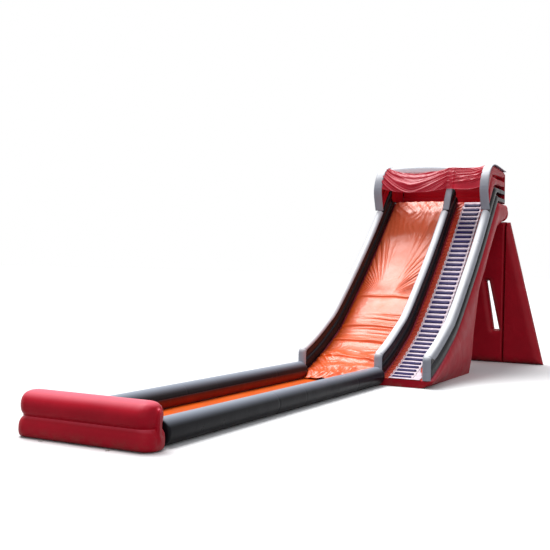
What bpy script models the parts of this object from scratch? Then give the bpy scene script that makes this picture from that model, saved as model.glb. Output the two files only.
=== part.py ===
"""A giant inflatable slide: a sloped tower with two lanes, a cabin on top, a rear support and a runout.

Units are metres, +Z is up, and +Y runs from the runout's bumper to the rear support.
Slope distances below are measured from the tower's front corner on the ground, and one empty
shifts the whole slide so that the origin is the middle of its footprint.
"""
import bpy
from math import cos, exp, hypot, pi, radians, sin
from mathutils import Vector

# Overall sizes
TOWER_WIDTH = 5.60
TOWER_BASE_LENGTH = 6.00
SLAB_REAR_Y = 11.47
PLATFORM_HEIGHT = 7.80
RUNOUT_LENGTH = 15.20
DRAW_IN_PER_METRE = 0.0032

# Walls and the lanes between them
WALL_WIDTH = 0.32
WALL_HEIGHT = 0.92
LOBE_BULGE = 0.02
UPPER_LOBE_SHARE = 0.48
MIDDLE_WALL_X = 0.66
RIBBON_THICKNESS = 0.05
RIBBON_SKIRT = 0.26
RIBBON_FOOT_Z = 0.30

# The top of a wall, seen from the side: the nose, the long slope and the cabin's rail
NOSE_Y = -0.38
SLOPE_POINTS = [
    (NOSE_Y, 1.20),
    (0.70, 1.62),
    (1.80, 2.16),
    (2.82, 2.76),
    (4.69, 4.31),
    (6.40, 5.86),
    (7.84, 7.30),
    (9.00, PLATFORM_HEIGHT + 0.67),
]
STEPS_PER_SPAN = 3
BREAK_SPANS = 6

# The cabin over the platform
CABIN_REAR_Y = 10.90
ARCH_POINTS = [
    (7.85, 7.365),
    (7.58, 8.09),
    (7.59, 8.50),
    (7.79, 8.95),
    (8.23, 9.34),
    (8.96, 9.49),
    (CABIN_REAR_Y, 9.36),
]
# The seam between the two red tubes under the arch
CABIN_SEAM_POINTS = [
    (7.93, 7.56),
    (8.02, 8.02),
    (8.20, 8.48),
    (8.55, 8.87),
    (9.05, 9.05),
    (CABIN_REAR_Y, 9.06),
]
ARCH_STEPS = 4
ARCH_THICKNESS = 0.07
# The rear face of the post on the middle wall, and the line of the canopy's cloth over it
POST_POINTS = [
    (8.00, 7.90),
    (8.118, 8.32),
    (8.240, 8.76),
    (8.354, 9.10),
]
POST_FOOT_Y = 7.90
POST_X = (0.71, 0.82)
CANOPY_MIDDLE_POINTS = [
    (8.03, 8.36),
    (8.145, 8.78),
    (8.27, 9.14),
    (8.42, 9.43),
]
SIDE_TUBE_WIDTH = 0.30
SIDE_SLOTS = (0.15, 0.14)
SLOTS_OPEN = (0.35, 0.70)
RAIL_SLOT = 0.17
RAIL_HEIGHT = 0.23
ROOF_BAR_FRONT_Y = 8.48
ROOF_BAR_DEPTH = 0.54
ROOF_BAR_TOP_Z = 9.47
ROOF_BAR_THICKNESS = 0.34
BACK_WALL_TOP_Z = 9.28
SIDE_LINER_THICKNESS = 0.010
SIDE_LINER_TOP_Z = 9.10
BACK_WALL_THICKNESS = 0.28
REAR_FLAP_THICKNESS = 0.02
CANOPY_THICKNESS = 0.02
CANOPY_ROWS = (6, 17)
LEFT_BAY_SAG = 0.30
RIGHT_BAY_SAG = 0.12
FOLD_DEPTH = 0.030

# Side panels and the underside of the slab
FLANK_LAP = 0.06
FLANK_GROUND_X = 2.51
FLANK_BULGE = 0.06

# Lane covers
COVER_THICKNESS = 0.012
COVER_CROWN = 0.06
EDGE_ROLL = 0.17
LANDING_BULGE = 0.075
LANDING_PLACE = 6.2
FOOT_ROLLS = ((0.55, 0.07), (1.35, 0.06), (2.9, 0.04), (4.1, 0.04))
MAT_THICKNESS = 0.010
MAT_X = (1.12, 2.10)
RUNG_X = (1.20, 1.98)
RUNG_COUNT = 40
RUNG_DEPTH = 0.11
RUNG_HEIGHT = 0.045
LADDER_STRAP = 0.04

# Rear support
PANEL_FRONT_Y = 11.60
PANEL_THICKNESS = 0.70
PANEL_HALF_WIDTH = 2.58
CROSSBAR_RADIUS = 0.42
CROSSBAR_LENGTH = 5.30
WING_FOOT_X = 4.54
WING_TOP_X = 2.78
WING_THICKNESS = 0.62
WINDOW_SILL_Z = 1.66
WINDOW_TOP_Z = 4.05
WINDOW_SILL_X = (2.10, 2.34)
WINDOW_TOP_X = (1.70, 1.80)

# Runout
RUNOUT_TUBE_RADIUS = 0.36
BED_HEIGHT = 0.06
BED_LIP_THICKNESS = 0.012
BUMPER_DEPTH = 0.98
BUMPER_HEIGHT = 1.21
BUMPER_WAIST_Z = 0.56
BUMPER_OVERHANG = (0.17, 0.05)

# Blowers
BLOWER_XS = {"left": -1.30, "right": 0.50}
BLOWER_Y = 7.35
FAN_CENTRE_Z = 0.36
FAN_RADIUS = 0.20
SCROLL_RADIUS = 0.27
SCROLL_WIDTH = 0.30
SHEET = 0.008
OUTLET_SIZE = 0.22
OUTLET_REACH = 0.42
INLET_RADIUS = 0.13
MOTOR_RADIUS = 0.095
MOTOR_LENGTH = 0.20
SHAFT_RADIUS = 0.012
SHAFT_CLEARANCE = 0.003
FAN_BLADES = 12
ROCKER_SIZE = (0.020, 0.034, 0.014)
SWITCH_BOX_SIZE = (0.060, 0.080, 0.045)
ROCKER_CLEARANCE = 0.002
ROCKER_TRAVEL = radians(24)
SLEEVE_RADIUS = 0.17

# Anchors and the deflation zip
ANCHOR_SPOTS = {"bumper_left": -2.15, "bumper_right": -0.05, "tower_middle": 1.66, "tower_right": 2.30}
TAB_WIDTH = 0.050
TAB_REACH = 0.10
TAB_THICKNESS = 0.004
RING_WIRE = 0.005
RING_WIDTH = 0.075
RING_HEIGHT = 0.060
RING_CLEARANCE = 0.0006
ZIP_LENGTH = 1.30
ZIP_WIDTH = 0.060
ZIP_Z = 0.60
ZIP_THICKNESS = 0.005
SLIDER_SIZE = (0.045, 0.016, 0.030)

# Small gap between pieces that touch
GAP = 0.0004

HALF_WIDTH = TOWER_WIDTH / 2
WALL_X = HALF_WIDTH - WALL_WIDTH / 2
LOBE_WIDTH = WALL_WIDTH + 2 * LOBE_BULGE
LANE_HALF_WIDTH = WALL_X - LOBE_WIDTH / 2
FLANK_INNER_X = LANE_HALF_WIDTH - FLANK_LAP
BUMPER_FRONT_Y = -RUNOUT_LENGTH - BUMPER_DEPTH
PANEL_REAR_Y = PANEL_FRONT_Y + PANEL_THICKNESS
CROSSBAR_Y = SLAB_REAR_Y + CROSSBAR_RADIUS + GAP
PANEL_TOP_Z = PLATFORM_HEIGHT + 0.04 - 2 * CROSSBAR_RADIUS
BUMPER_TOE_Y = BUMPER_FRONT_Y + 0.0232
FOREMOST_Y = BUMPER_TOE_Y - GAP - TAB_REACH - RING_HEIGHT - RING_WIRE
REARMOST_Y = PANEL_REAR_Y + 2 * GAP + ZIP_THICKNESS + SLIDER_SIZE[1]
SHIFT_Y = -(FOREMOST_Y + REARMOST_Y) / 2


def clear_scene():
    for obj in list(bpy.data.objects):
        bpy.data.objects.remove(obj, do_unlink=True)


def make_material(name, colour, roughness, metallic=0.0):
    material = bpy.data.materials.new(name)
    material.use_nodes = True
    shader = material.node_tree.nodes["Principled BSDF"]
    shader.inputs["Base Color"].default_value = (*colour, 1.0)
    shader.inputs["Roughness"].default_value = roughness
    shader.inputs["Metallic"].default_value = metallic
    return material


def make_object(name, points, faces, material, parent, sharp_angle=35):
    mesh = bpy.data.meshes.new(name)
    mesh.from_pydata(points, [], faces)
    mesh.validate()
    mesh.shade_smooth()
    mesh.set_sharp_from_angle(angle=radians(sharp_angle))
    obj = bpy.data.objects.new(name, mesh)
    bpy.context.scene.collection.objects.link(obj)
    obj.data.materials.append(material)
    obj.parent = parent
    return obj


def make_empty(name, location, parent=None):
    empty = bpy.data.objects.new(name, None)
    empty.location = location
    empty.parent = parent
    bpy.context.scene.collection.objects.link(empty)
    return empty


def lean(point):
    """The tower's sides draw in a little towards the top."""
    x, y, z = point
    return (x * (1 - DRAW_IN_PER_METRE * z), y, z)


def smooth_through(points, steps):
    """A Catmull-Rom curve through points, with the given number of steps in each span."""
    first = (2 * points[0][0] - points[1][0], 2 * points[0][1] - points[1][1])
    last = (2 * points[-1][0] - points[-2][0], 2 * points[-1][1] - points[-2][1])
    padded = [first, *points, last]
    curve = []
    for a, b, c, d in zip(padded, padded[1:], padded[2:], padded[3:]):
        for step in range(steps):
            t = step / steps
            weights = (
                (-t + 2 * t**2 - t**3) / 2,
                (2 - 5 * t**2 + 3 * t**3) / 2,
                (t + 4 * t**2 - 3 * t**3) / 2,
                (-(t**2) + t**3) / 2,
            )
            curve.append(tuple(sum(w * p[i] for w, p in zip(weights, (a, b, c, d))) for i in (0, 1)))
    curve.append(points[-1])
    return curve


def lengths_along(line):
    total = [0.0]
    for a, b in zip(line, line[1:]):
        total.append(total[-1] + hypot(b[0] - a[0], b[1] - a[1]))
    return total


def point_at(line, share):
    """The point at a share, 0 to 1, of a polyline's length."""
    total = lengths_along(line)
    goal = share * total[-1]
    for i in range(len(line) - 1):
        if goal <= total[i + 1] or i == len(line) - 2:
            t = (goal - total[i]) / (total[i + 1] - total[i])
            return tuple(line[i][j] + t * (line[i + 1][j] - line[i][j]) for j in (0, 1))


def with_midpoints(line):
    doubled = [line[0]]
    for a, b in zip(line, line[1:]):
        doubled += [((a[0] + b[0]) / 2, (a[1] + b[1]) / 2), b]
    return doubled


def normals_of(line):
    """Unit normals that point up and forward of a line in the side view."""
    found = []
    for i in range(len(line)):
        a = line[max(i - 1, 0)]
        b = line[min(i + 1, len(line) - 1)]
        size = hypot(b[0] - a[0], b[1] - a[1])
        found.append((-(b[1] - a[1]) / size, (b[0] - a[0]) / size))
    return found


def offset(line, distance):
    """A line moved along its own normals; a negative distance goes down and back."""
    return [(p[0] + n[0] * distance, p[1] + n[1] * distance) for p, n in zip(line, normals_of(line))]


def slope_offset(depth):
    """The slope line moved down into the wall, cut square at the nose."""
    line = offset(SLOPE, -depth)
    line[0] = (NOSE_Y, SLOPE[0][1] - depth)
    return line


def loft(rings, closed_ends=True):
    """Points and faces of a skin through rings of equal length, with capped ends."""
    count = len(rings[0])
    points = [p for ring in rings for p in ring]
    faces = []
    for r in range(len(rings) - 1):
        for i in range(count):
            j = (i + 1) % count
            a = r * count
            b = a + count
            faces.append((a + i, a + j, b + j, b + i))
    if closed_ends:
        last = (len(rings) - 1) * count
        faces.append(tuple(reversed(range(count))))
        faces.append(tuple(range(last, last + count)))
    return points, faces


def facing_out(points, faces):
    """The faces, turned round if the closed skin they make has a negative volume."""
    volume = 0.0
    for face in faces:
        a = Vector(points[face[0]])
        for i in range(1, len(face) - 1):
            volume += a.dot(Vector(points[face[i]]).cross(Vector(points[face[i + 1]])))
    return faces if volume > 0 else [tuple(reversed(face)) for face in faces]


def lofted(name, rings, material, parent, sharp_angle=35):
    points, faces = loft(rings)
    return make_object(name, points, facing_out(points, faces), material, parent, sharp_angle)


LOBE_SECTION = [
    (0.45, 1.0), (0.80, 0.82), (1.0, 0.40), (1.0, -0.40), (0.80, -0.82), (0.45, -1.0),
    (-0.45, -1.0), (-0.80, -0.82), (-1.0, -0.40), (-1.0, 0.40), (-0.80, 0.82), (-0.45, 1.0),
]


# The same section with a flat floor, for a lobe that stands on the ground
FLOOR_LOBE_SECTION = [
    *LOBE_SECTION[:4], (0.98, -0.80), (0.95, -1.0), (-0.95, -1.0), (-0.98, -0.80), *LOBE_SECTION[8:],
]


def lobe_rings(outer, inner, x_centre, width):
    """Rings of a flat-sided tube that fills the space between two lines in the side view."""
    rings = []
    for o, i in zip(outer, inner):
        middle = ((o[0] + i[0]) / 2, (o[1] + i[1]) / 2)
        half = ((o[0] - i[0]) / 2, (o[1] - i[1]) / 2)
        ring = []
        for across, up in LOBE_SECTION:
            ring.append((x_centre + across * width / 2, middle[0] + up * half[0], middle[1] + up * half[1]))
        rings.append([lean(p) for p in ring])
    return rings


def strip_rings(line, normals, section):
    """Rings of a strip along a line in the side view; the section holds (x, height above the line)."""
    rings = []
    for p, n in zip(line, normals):
        rings.append([lean((x, p[0] + n[0] * h, p[1] + n[1] * h)) for x, h in section])
    return rings


SLOPE = smooth_through(SLOPE_POINTS, STEPS_PER_SPAN)
BREAK = BREAK_SPANS * STEPS_PER_SPAN
ARCH = smooth_through(ARCH_POINTS, ARCH_STEPS)
PLATFORM_EDGE = offset(SLOPE, -WALL_HEIGHT)[-1]
BED_LINE = slope_offset(WALL_HEIGHT)
RAIL_ENDS = (9.75, 10.30, CABIN_REAR_Y)


def rail_points(height, first_y):
    """The level part of a wall tube beside the platform, which falls slightly to the rear."""
    fall = 0.02
    return [(first_y, height)] + [(y, height - fall * (y - RAIL_ENDS[0])) for y in RAIL_ENDS]


def wall_top_line():
    """The top of an outer wall's upper tube, from the nose to the cabin's rear."""
    return slope_offset(GAP) + rail_points(UPPER_RAIL_TOP, 9.38)


LOWER_RAIL_BOTTOM = PLATFORM_HEIGHT + 0.06
LOWER_RAIL_TOP = LOWER_RAIL_BOTTOM + RAIL_HEIGHT
UPPER_RAIL_BOTTOM = LOWER_RAIL_TOP + RAIL_SLOT
UPPER_RAIL_TOP = UPPER_RAIL_BOTTOM + RAIL_HEIGHT


def make_wall(side, x, materials, parent):
    """Two stacked black tubes; beside the platform the outer walls' tubes bend back into rails."""
    split = WALL_HEIGHT * UPPER_LOBE_SHARE
    upper_outer = wall_top_line() if side != "middle" else slope_offset(GAP)
    upper_inner = slope_offset(split)
    lower_outer = slope_offset(split + GAP)
    lower_inner = slope_offset(WALL_HEIGHT - GAP)
    if side != "middle":
        upper_inner = upper_inner + rail_points(UPPER_RAIL_BOTTOM, 9.52)
        lower_outer = lower_outer + rail_points(LOWER_RAIL_TOP, 9.56)
        lower_inner = lower_inner + rail_points(LOWER_RAIL_BOTTOM, 9.70)
    rings = lobe_rings(upper_outer, upper_inner, x, LOBE_WIDTH)
    lofted(side + "_upper_tube", rings, materials["black"], parent)
    rings = lobe_rings(lower_outer, lower_inner, x, LOBE_WIDTH)
    lofted(side + "_lower_tube", rings, materials["black"], parent)


def ribbon_section(side, x, thickness):
    """The silver band: a cap on the wall, with a skirt down the outer face of an outer wall."""
    half = WALL_WIDTH / 2
    if side == "middle":
        return [(x - half, 0.0), (x + half, 0.0), (x + half, thickness * 0.6), (x + half * 0.7, thickness),
                (x - half * 0.7, thickness), (x - half, thickness * 0.6)]
    outward = 1 if side == "right" else -1
    inner = x - outward * half
    outer = x + outward * (LOBE_WIDTH / 2 + GAP)
    skin = outer + outward * 0.02
    return [(inner, 0.0), (outer, 0.0), (outer, -RIBBON_SKIRT), (skin, -RIBBON_SKIRT),
            (skin, thickness * 0.3), (x + outward * half * 0.8, thickness),
            (x - outward * half * 0.7, thickness), (inner, thickness * 0.6)]


def make_ribbon(side, x, materials, parent):
    """The silver band along the wall's top, turned down over the nose."""
    slope = SLOPE[: BREAK + 1]
    normals = normals_of(SLOPE)[: BREAK + 1]
    section = ribbon_section(side, x, RIBBON_THICKNESS)
    corner = (NOSE_Y, SLOPE[0][1])
    tilt = normals[0]
    front = (-1.0, 0.0)
    half_way = Vector((front[0] + tilt[0], front[1] + tilt[1])).normalized()
    line = [(NOSE_Y, RIBBON_FOOT_Z), corner] + slope[1:]
    line_normals = [front, tuple(half_way * 1.2)] + normals[1:]
    if side != "middle":
        flat = [(px, max(h, 0.0) if h <= 0 else h) for px, h in section]
        rings = strip_rings(line[:1], line_normals[:1], flat)
        rings += strip_rings(line[1:2], line_normals[1:2], flat)
        rings += strip_rings(line[2:], line_normals[2:], section)
    else:
        rings = strip_rings(line, line_normals, section)
    lofted(side + "_ribbon", rings, materials["silver"], parent)


def band_section(x):
    """A cut through a silver band of the cabin: (x, height above the band's line)."""
    half = WALL_WIDTH / 2
    return [(x - half, GAP), (x + half, GAP), (x + half, GAP + 0.04), (x + half * 0.7, ARCH_THICKNESS),
            (x - half * 0.7, ARCH_THICKNESS), (x - half, GAP + 0.04)]


def make_arch_band(side, x, materials, parent):
    """The silver band round the cabin's side, from the slope's top to the rear of the cabin."""
    rings = strip_rings(ARCH, normals_of(ARCH), band_section(x))
    lofted(side + "_arch_band", rings, materials["silver"], parent)


def make_post(materials, parent):
    """The silver post on the middle wall, which leans back and to the right under the canopy."""
    before, after = SLOPE[BREAK], SLOPE[BREAK + 1]
    share = (POST_FOOT_Y - before[0]) / (after[0] - before[0])
    foot = (POST_FOOT_Y, before[1] + share * (after[1] - before[1]))
    line = smooth_through([foot, *POST_POINTS], 2)
    rings = []
    for p, n in zip(line, normals_of(line)):
        rise = min(1.0, (p[1] - foot[1]) / (CANOPY_MIDDLE_POINTS[0][1] - foot[1]))
        x = POST_X[0] + rise * (POST_X[1] - POST_X[0])
        rings += strip_rings([p], [n], band_section(x))
    lofted("middle_arch_band", rings, materials["silver"], parent)


def make_side_tubes(side, x, materials, parent):
    """Two red tubes that fill the cabin's side between the silver arch and the wall's upper tube."""
    inner = offset(with_midpoints(wall_top_line()[BREAK + 1 :]), 2 * GAP)
    shares = [i / (len(inner) - 1) for i in range(len(inner))]
    arch = [(ARCH[2][0] + 0.01, ARCH[2][1])] + ARCH[3:]
    outer_line = [point_at(offset(arch, -2 * GAP), s) for s in shares]
    seam = [point_at(smooth_through(CABIN_SEAM_POINTS, 3), s) for s in shares]
    opening = [eased(s, *SLOTS_OPEN) for s in shares]
    seam_low = [(y + 2 * GAP, z - 2 * GAP - SIDE_SLOTS[0] * part) for (y, z), part in zip(seam, opening)]
    lowest = [(y, z + SIDE_SLOTS[1] * part) for (y, z), part in zip(inner, opening)]
    rings = lobe_rings(outer_line, seam, x, SIDE_TUBE_WIDTH)
    lofted(side + "_cabin_outer_tube", rings, materials["red"], parent)
    rings = lobe_rings(seam_low, lowest, x, SIDE_TUBE_WIDTH)
    lofted(side + "_cabin_inner_tube", rings, materials["red"], parent)


def slab_lines():
    """Matching points along the slab's top and along its base, rear face and underside."""
    top = BED_LINE + [(y, PLATFORM_HEIGHT) for y in (PLATFORM_EDGE[0] + 0.5, CABIN_REAR_Y, SLAB_REAR_Y)]
    corners = [
        (NOSE_Y, 0.0),
        (TOWER_BASE_LENGTH, 0.0),
        (TOWER_BASE_LENGTH + 0.10, 1.20),
        (TOWER_BASE_LENGTH + 0.35, 2.90),
        (TOWER_BASE_LENGTH + 0.80, 3.45),
        (TOWER_BASE_LENGTH + 1.45, 3.98),
        (TOWER_BASE_LENGTH + 2.30, 5.00),
        (TOWER_BASE_LENGTH + 3.90, PANEL_TOP_Z - 0.50),
        (SLAB_REAR_Y, PANEL_TOP_Z),
    ]
    total = lengths_along(top)
    bottom = [point_at(corners, length / total[-1]) for length in total]
    for corner in corners:
        distances = [hypot(y - corner[0], z - corner[1]) for y, z in bottom]
        bottom[distances.index(min(distances))] = corner
    return top, bottom


def make_slab(materials, parent):
    """The sloped air chamber between the side panels, which carries both lanes and the platform."""
    top, bottom = slab_lines()
    reach = FLANK_INNER_X - GAP
    rings = []
    for t, b in zip(top, bottom):
        rings.append([lean((x, p[0], p[1])) for x, p in ((-reach, t), (reach, t), (reach, b), (-reach, b))])
    lofted("tower_slab", rings, materials["red"], parent)


def make_flank(side, materials, parent):
    """A side panel that bulges between the wall's foot and the ground."""
    sign = 1 if side == "right" else -1
    top, bottom = slab_lines()
    widest = HALF_WIDTH + FLANK_BULGE
    profile = [(0.0, HALF_WIDTH - 0.10), (0.06, HALF_WIDTH), (0.22, widest), (0.45, widest - 0.03),
               (0.70, HALF_WIDTH - 0.05), (0.88, FLANK_GROUND_X + 0.10), (1.0, FLANK_GROUND_X)]
    rings = []
    for t, b in zip(top, bottom):
        ring = []
        for share, x in profile:
            ring.append((sign * x, t[0] + share * (b[0] - t[0]), t[1] + share * (b[1] - t[1])))
        ring.append((sign * FLANK_INNER_X, b[0], b[1]))
        ring.append((sign * FLANK_INNER_X, t[0], t[1]))
        rings.append([lean(p) for p in ring])
    lofted(side + "_flank", rings, materials["red"], parent)


def cover_rings(x_low, x_high, low, high, first=0, last=None):
    """Rings of a thin cover that lies on the bed between two heights above it."""
    line = BED_LINE[first:last]
    normals = normals_of(BED_LINE)[first:last]
    section = [(x_low, low), (x_high, low), (x_high, high), (x_low, high)]
    return strip_rings(line, normals, section)


def eased(value, low, high):
    """0 below low, 1 above high, and a smooth step between them."""
    t = min(max((value - low) / (high - low), 0.0), 1.0)
    return t * t * (3 - 2 * t)


def cover_height(across, along, length):
    """How high the slide cover stands off the bed: a roll at the platform, a bulge and rolls at the foot."""
    from_top = length - along
    roll = EDGE_ROLL * eased(from_top, -0.15, 1.0) * (1 - eased(from_top, 1.05, 2.5))
    below = LANDING_PLACE - along
    bulge = LANDING_BULGE * eased(below, 0.0, 0.95) * (1 - eased(below, 0.95, 2.6))
    rolls = sum(height * exp(-(((along - place) / 0.30) ** 2)) for place, height in FOOT_ROLLS)
    crown = sin(pi * across) ** 0.5 if 0 < across < 1 else 0.0
    return COVER_THICKNESS + (COVER_CROWN + roll + bulge + rolls) * crown


def make_slide_cover(x_low, x_high, materials, parent):
    """The loose orange cover of the slide lane, solid down to the bed under its rolls."""
    line = with_midpoints(BED_LINE)
    normals = normals_of(line)
    places = lengths_along(line)
    columns = 11
    rings = []
    for (y, z), (ny, nz), place in zip(line, normals, places):
        ring = [(x_high, GAP), (x_low, GAP)]
        for i in range(columns):
            across = i / (columns - 1)
            ring.append((x_low + across * (x_high - x_low), GAP + cover_height(across, place, places[-1])))
        rings.append([lean((x, y + ny * h, z + nz * h)) for x, h in ring])
    lofted("slide_liner", rings, materials["orange"], parent)


def make_lane_covers(materials, parent):
    """Orange covers in both lanes, and the white mat under the climbing rungs."""
    inset = 0.012
    low = GAP
    high = low + COVER_THICKNESS
    left = -LANE_HALF_WIDTH + inset
    middle_left = MIDDLE_WALL_X - LOBE_WIDTH / 2 - inset
    middle_right = MIDDLE_WALL_X + LOBE_WIDTH / 2 + inset
    right = LANE_HALF_WIDTH - inset
    make_slide_cover(left, middle_left, materials, parent)
    lofted("stair_liner", cover_rings(middle_right, right, low, high), materials["orange"], parent)
    mat_low = high + GAP
    rings = cover_rings(MAT_X[0], MAT_X[1], mat_low, mat_low + MAT_THICKNESS)
    lofted("stair_mat", rings, materials["white"], parent)


def ladder_stations():
    """Places along the bed, with normals, at the edges of each rung."""
    total = lengths_along(BED_LINE)[-1]
    pitch = total / (RUNG_COUNT + 0.6)
    stations = []
    for number in range(RUNG_COUNT):
        start = (number + 0.5) * pitch
        stations.append((start / total, True))
        stations.append(((start + RUNG_DEPTH) / total, False))
    return stations


def make_rung_ladder(materials, parent):
    """Navy rungs across the mat, joined by a narrow strap down each edge."""
    low = 2 * GAP + COVER_THICKNESS + MAT_THICKNESS + GAP
    strap_high = low + 0.008
    rung_high = low + RUNG_HEIGHT
    columns = [RUNG_X[0], RUNG_X[0] + LADDER_STRAP, RUNG_X[1] - LADDER_STRAP, RUNG_X[1]]
    stations = ladder_stations()
    centre = [point_at(BED_LINE, share) for share, _ in stations]
    normals = normals_of(centre)
    for i in range(0, len(normals), 2):
        a = centre[i]
        b = centre[i + 1]
        size = hypot(b[0] - a[0], b[1] - a[1])
        square = (-(b[1] - a[1]) / size, (b[0] - a[0]) / size)
        normals[i] = square
        normals[i + 1] = square
    lift = 0.0006
    points = []
    for p, n in zip(centre, normals):
        for height in (low + lift, strap_high + lift, rung_high + lift):
            for x in columns:
                points.append(lean((x, p[0] + n[0] * height, p[1] + n[1] * height)))
    faces = []
    per = 12

    def corner(station, level, column):
        return station * per + level * 4 + column

    count = len(stations)
    for s in range(count - 1):
        rung = stations[s][1]
        spans = (0, 1, 2) if rung else (0, 2)
        top = 2 if rung else 1
        for c in spans:
            below = [corner(s, 0, c), corner(s, 0, c + 1), corner(s + 1, 0, c + 1), corner(s + 1, 0, c)]
            far = [corner(s + 1, top, c + 1), corner(s + 1, top, c)]
            above = [corner(s, top, c), corner(s, top, c + 1), *far]
            faces += [tuple(below), tuple(reversed(above))]
        edges = ((0, 1), (3, -1)) if rung else ((0, 1), (1, -1), (2, 1), (3, -1))
        for c, turn in edges:
            for level in range(top):
                near = [corner(s, level, c), corner(s + 1, level, c)]
                far = [corner(s + 1, level + 1, c), corner(s, level + 1, c)]
                faces.append(tuple(near + far if turn > 0 else reversed(near + far)))
    for s in range(count):
        starts = stations[s][1]
        turn = 1 if starts else -1
        for c in range(3):
            wall = [corner(s, 1, c), corner(s, 1, c + 1), corner(s, 2, c + 1), corner(s, 2, c)]
            faces.append(tuple(reversed(wall) if turn > 0 else wall))
            if c == 1 or s in (0, count - 1):
                wall = [corner(s, 0, c), corner(s, 0, c + 1), corner(s, 1, c + 1), corner(s, 1, c)]
                faces.append(tuple(reversed(wall) if turn > 0 else wall))
    make_object("rung_ladder", points, facing_out(points, faces), materials["navy"], parent)


def make_canopy_bay(side, x_edge, sag, materials, parent):
    """A cloth swag from an arch to the post, from the roof bar down to a lip, with its main folds."""
    first, last = CANOPY_ROWS
    line = ARCH[first : last + 1]
    middle = [point_at(smooth_through(CANOPY_MIDDLE_POINTS, 3), i / (len(line) - 1)) for i in range(len(line))]
    columns = 16
    outward = 1 if side == "right" else -1
    x_post = POST_X[1] + outward * (WALL_WIDTH / 2 + GAP)
    xs = [x_post + (x_edge - x_post) * c / columns for c in range(columns + 1)]
    xs.insert(0, POST_X[1] + outward * GAP)
    rings = []
    for row in range(len(line)):
        down = row / (len(line) - 1)
        upper = []
        lower = []
        for x in xs:
            across = min(1.0, max(0.0, (x - x_post) / (x_edge - x_post)))
            blend = eased(across, 0.0, 0.6)
            here = [(m[0] + blend * (a[0] - m[0]), m[1] + blend * (a[1] - m[1])) for m, a in zip(middle, line)]
            p = here[row]
            n = normals_of(here)[row]
            swag = sin(pi * across)
            droop = sag * swag**1.3 * (0.55 + 0.45 * sin(pi * min(1.0, down * 1.1))) * (0.4 + 0.6 * blend)
            fold = FOLD_DEPTH * swag * sin(2 * pi * (3.2 * down + 1.1 * swag))
            height = fold - droop
            drop = 0.10 * swag * (1 - down)
            upper.append((x, p[0] + n[0] * height, p[1] + n[1] * height - drop))
            height -= CANOPY_THICKNESS
            lower.append((x, p[0] + n[0] * height, p[1] + n[1] * height - drop))
        rings.append([lean(q) for q in upper + lower[::-1]])
    lofted(side + "_canopy", rings, materials["red"], parent)


def make_roof_bar(materials, parent):
    """The pale bar between the arches' tops, which the canopy hangs from; the roof behind it is open."""
    reach = WALL_X - WALL_WIDTH / 2 - GAP
    middle = ROOF_BAR_TOP_Z - ROOF_BAR_THICKNESS / 2
    rings = []
    for share, size in ((0.0, 0.45), (0.07, 0.8), (0.22, 1.0), (0.78, 1.0), (0.93, 0.8), (1.0, 0.45)):
        y = ROOF_BAR_FRONT_Y + ROOF_BAR_DEPTH * share
        half = ROOF_BAR_THICKNESS / 2 * size
        ring = [(-reach, -half), (reach, -half), (reach, half), (-reach, half)]
        rings.append([lean((x, y, middle + z)) for x, z in ring])
    lofted("roof_bar", rings, materials["silver"], parent)


def make_back_wall(materials, parent):
    """The red wall that closes the cabin's back, with a flap behind the side tubes' ends."""
    reach = WALL_X - LOBE_WIDTH / 2 - 2 * GAP
    front = CABIN_REAR_Y - BACK_WALL_THICKNESS
    flap = WALL_X + SIDE_TUBE_WIDTH / 2
    flap_front = CABIN_REAR_Y + 2 * GAP
    rear = flap_front + REAR_FLAP_THICKNESS
    floor = PLATFORM_HEIGHT + GAP
    half = [(reach, front), (reach, flap_front), (flap, flap_front), (flap, rear)]
    ring = half + [(-x, y) for x, y in reversed(half)]
    rings = []
    for z in (floor, floor + 0.4, floor + 0.8, BACK_WALL_TOP_Z):
        rings.append([lean((x, y, z)) for x, y in ring])
    lofted("back_wall", rings, materials["dark_red"], parent)


def make_side_liner(side, materials, parent):
    """A thin panel inside the cabin that closes the slots between the side tubes."""
    sign = 1 if side == "right" else -1
    near = sign * (WALL_X - LOBE_WIDTH / 2 - GAP)
    far = near - sign * SIDE_LINER_THICKNESS
    front = PLATFORM_EDGE[0] - 0.40
    rear = CABIN_REAR_Y - BACK_WALL_THICKNESS - GAP
    top = SIDE_LINER_TOP_Z
    bottom = LOWER_RAIL_BOTTOM + 0.02
    outline = [(front, bottom + 0.40), (front + 0.30, bottom), (rear, bottom), (rear, top), (front + 0.20, top),
               (front, top - 0.30)]
    rings = [[lean((x, y, z)) for y, z in outline] for x in (near, far)]
    lofted(side + "_cabin_liner", rings, materials["dark_red"], parent)


def round_rings(radius, x_low, x_high, y, z, sides=20, dome=0.30):
    """Rings of a level tube along X with domed ends."""
    steps = ((0.0, 0.35), (0.12, 0.70), (0.40, 0.92), (1.0, 1.0))
    stations = [(x_low + share * dome, size) for share, size in steps]
    stations += [(x_high - share * dome, size) for share, size in reversed(steps)]
    rings = []
    for x, size in stations:
        ring = []
        for i in range(sides):
            angle = 2 * pi * i / sides
            ring.append((x, y + radius * size * cos(angle), z + radius * size * sin(angle)))
        rings.append(ring)
    return rings


def window_corners(side):
    """The four corners of the tall wind opening on one side of the rear panel."""
    sign = 1 if side == "right" else -1
    sill = [(sign * x, WINDOW_SILL_Z) for x in WINDOW_SILL_X]
    top = [(sign * x, WINDOW_TOP_Z) for x in reversed(WINDOW_TOP_X)]
    return sill + top


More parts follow.
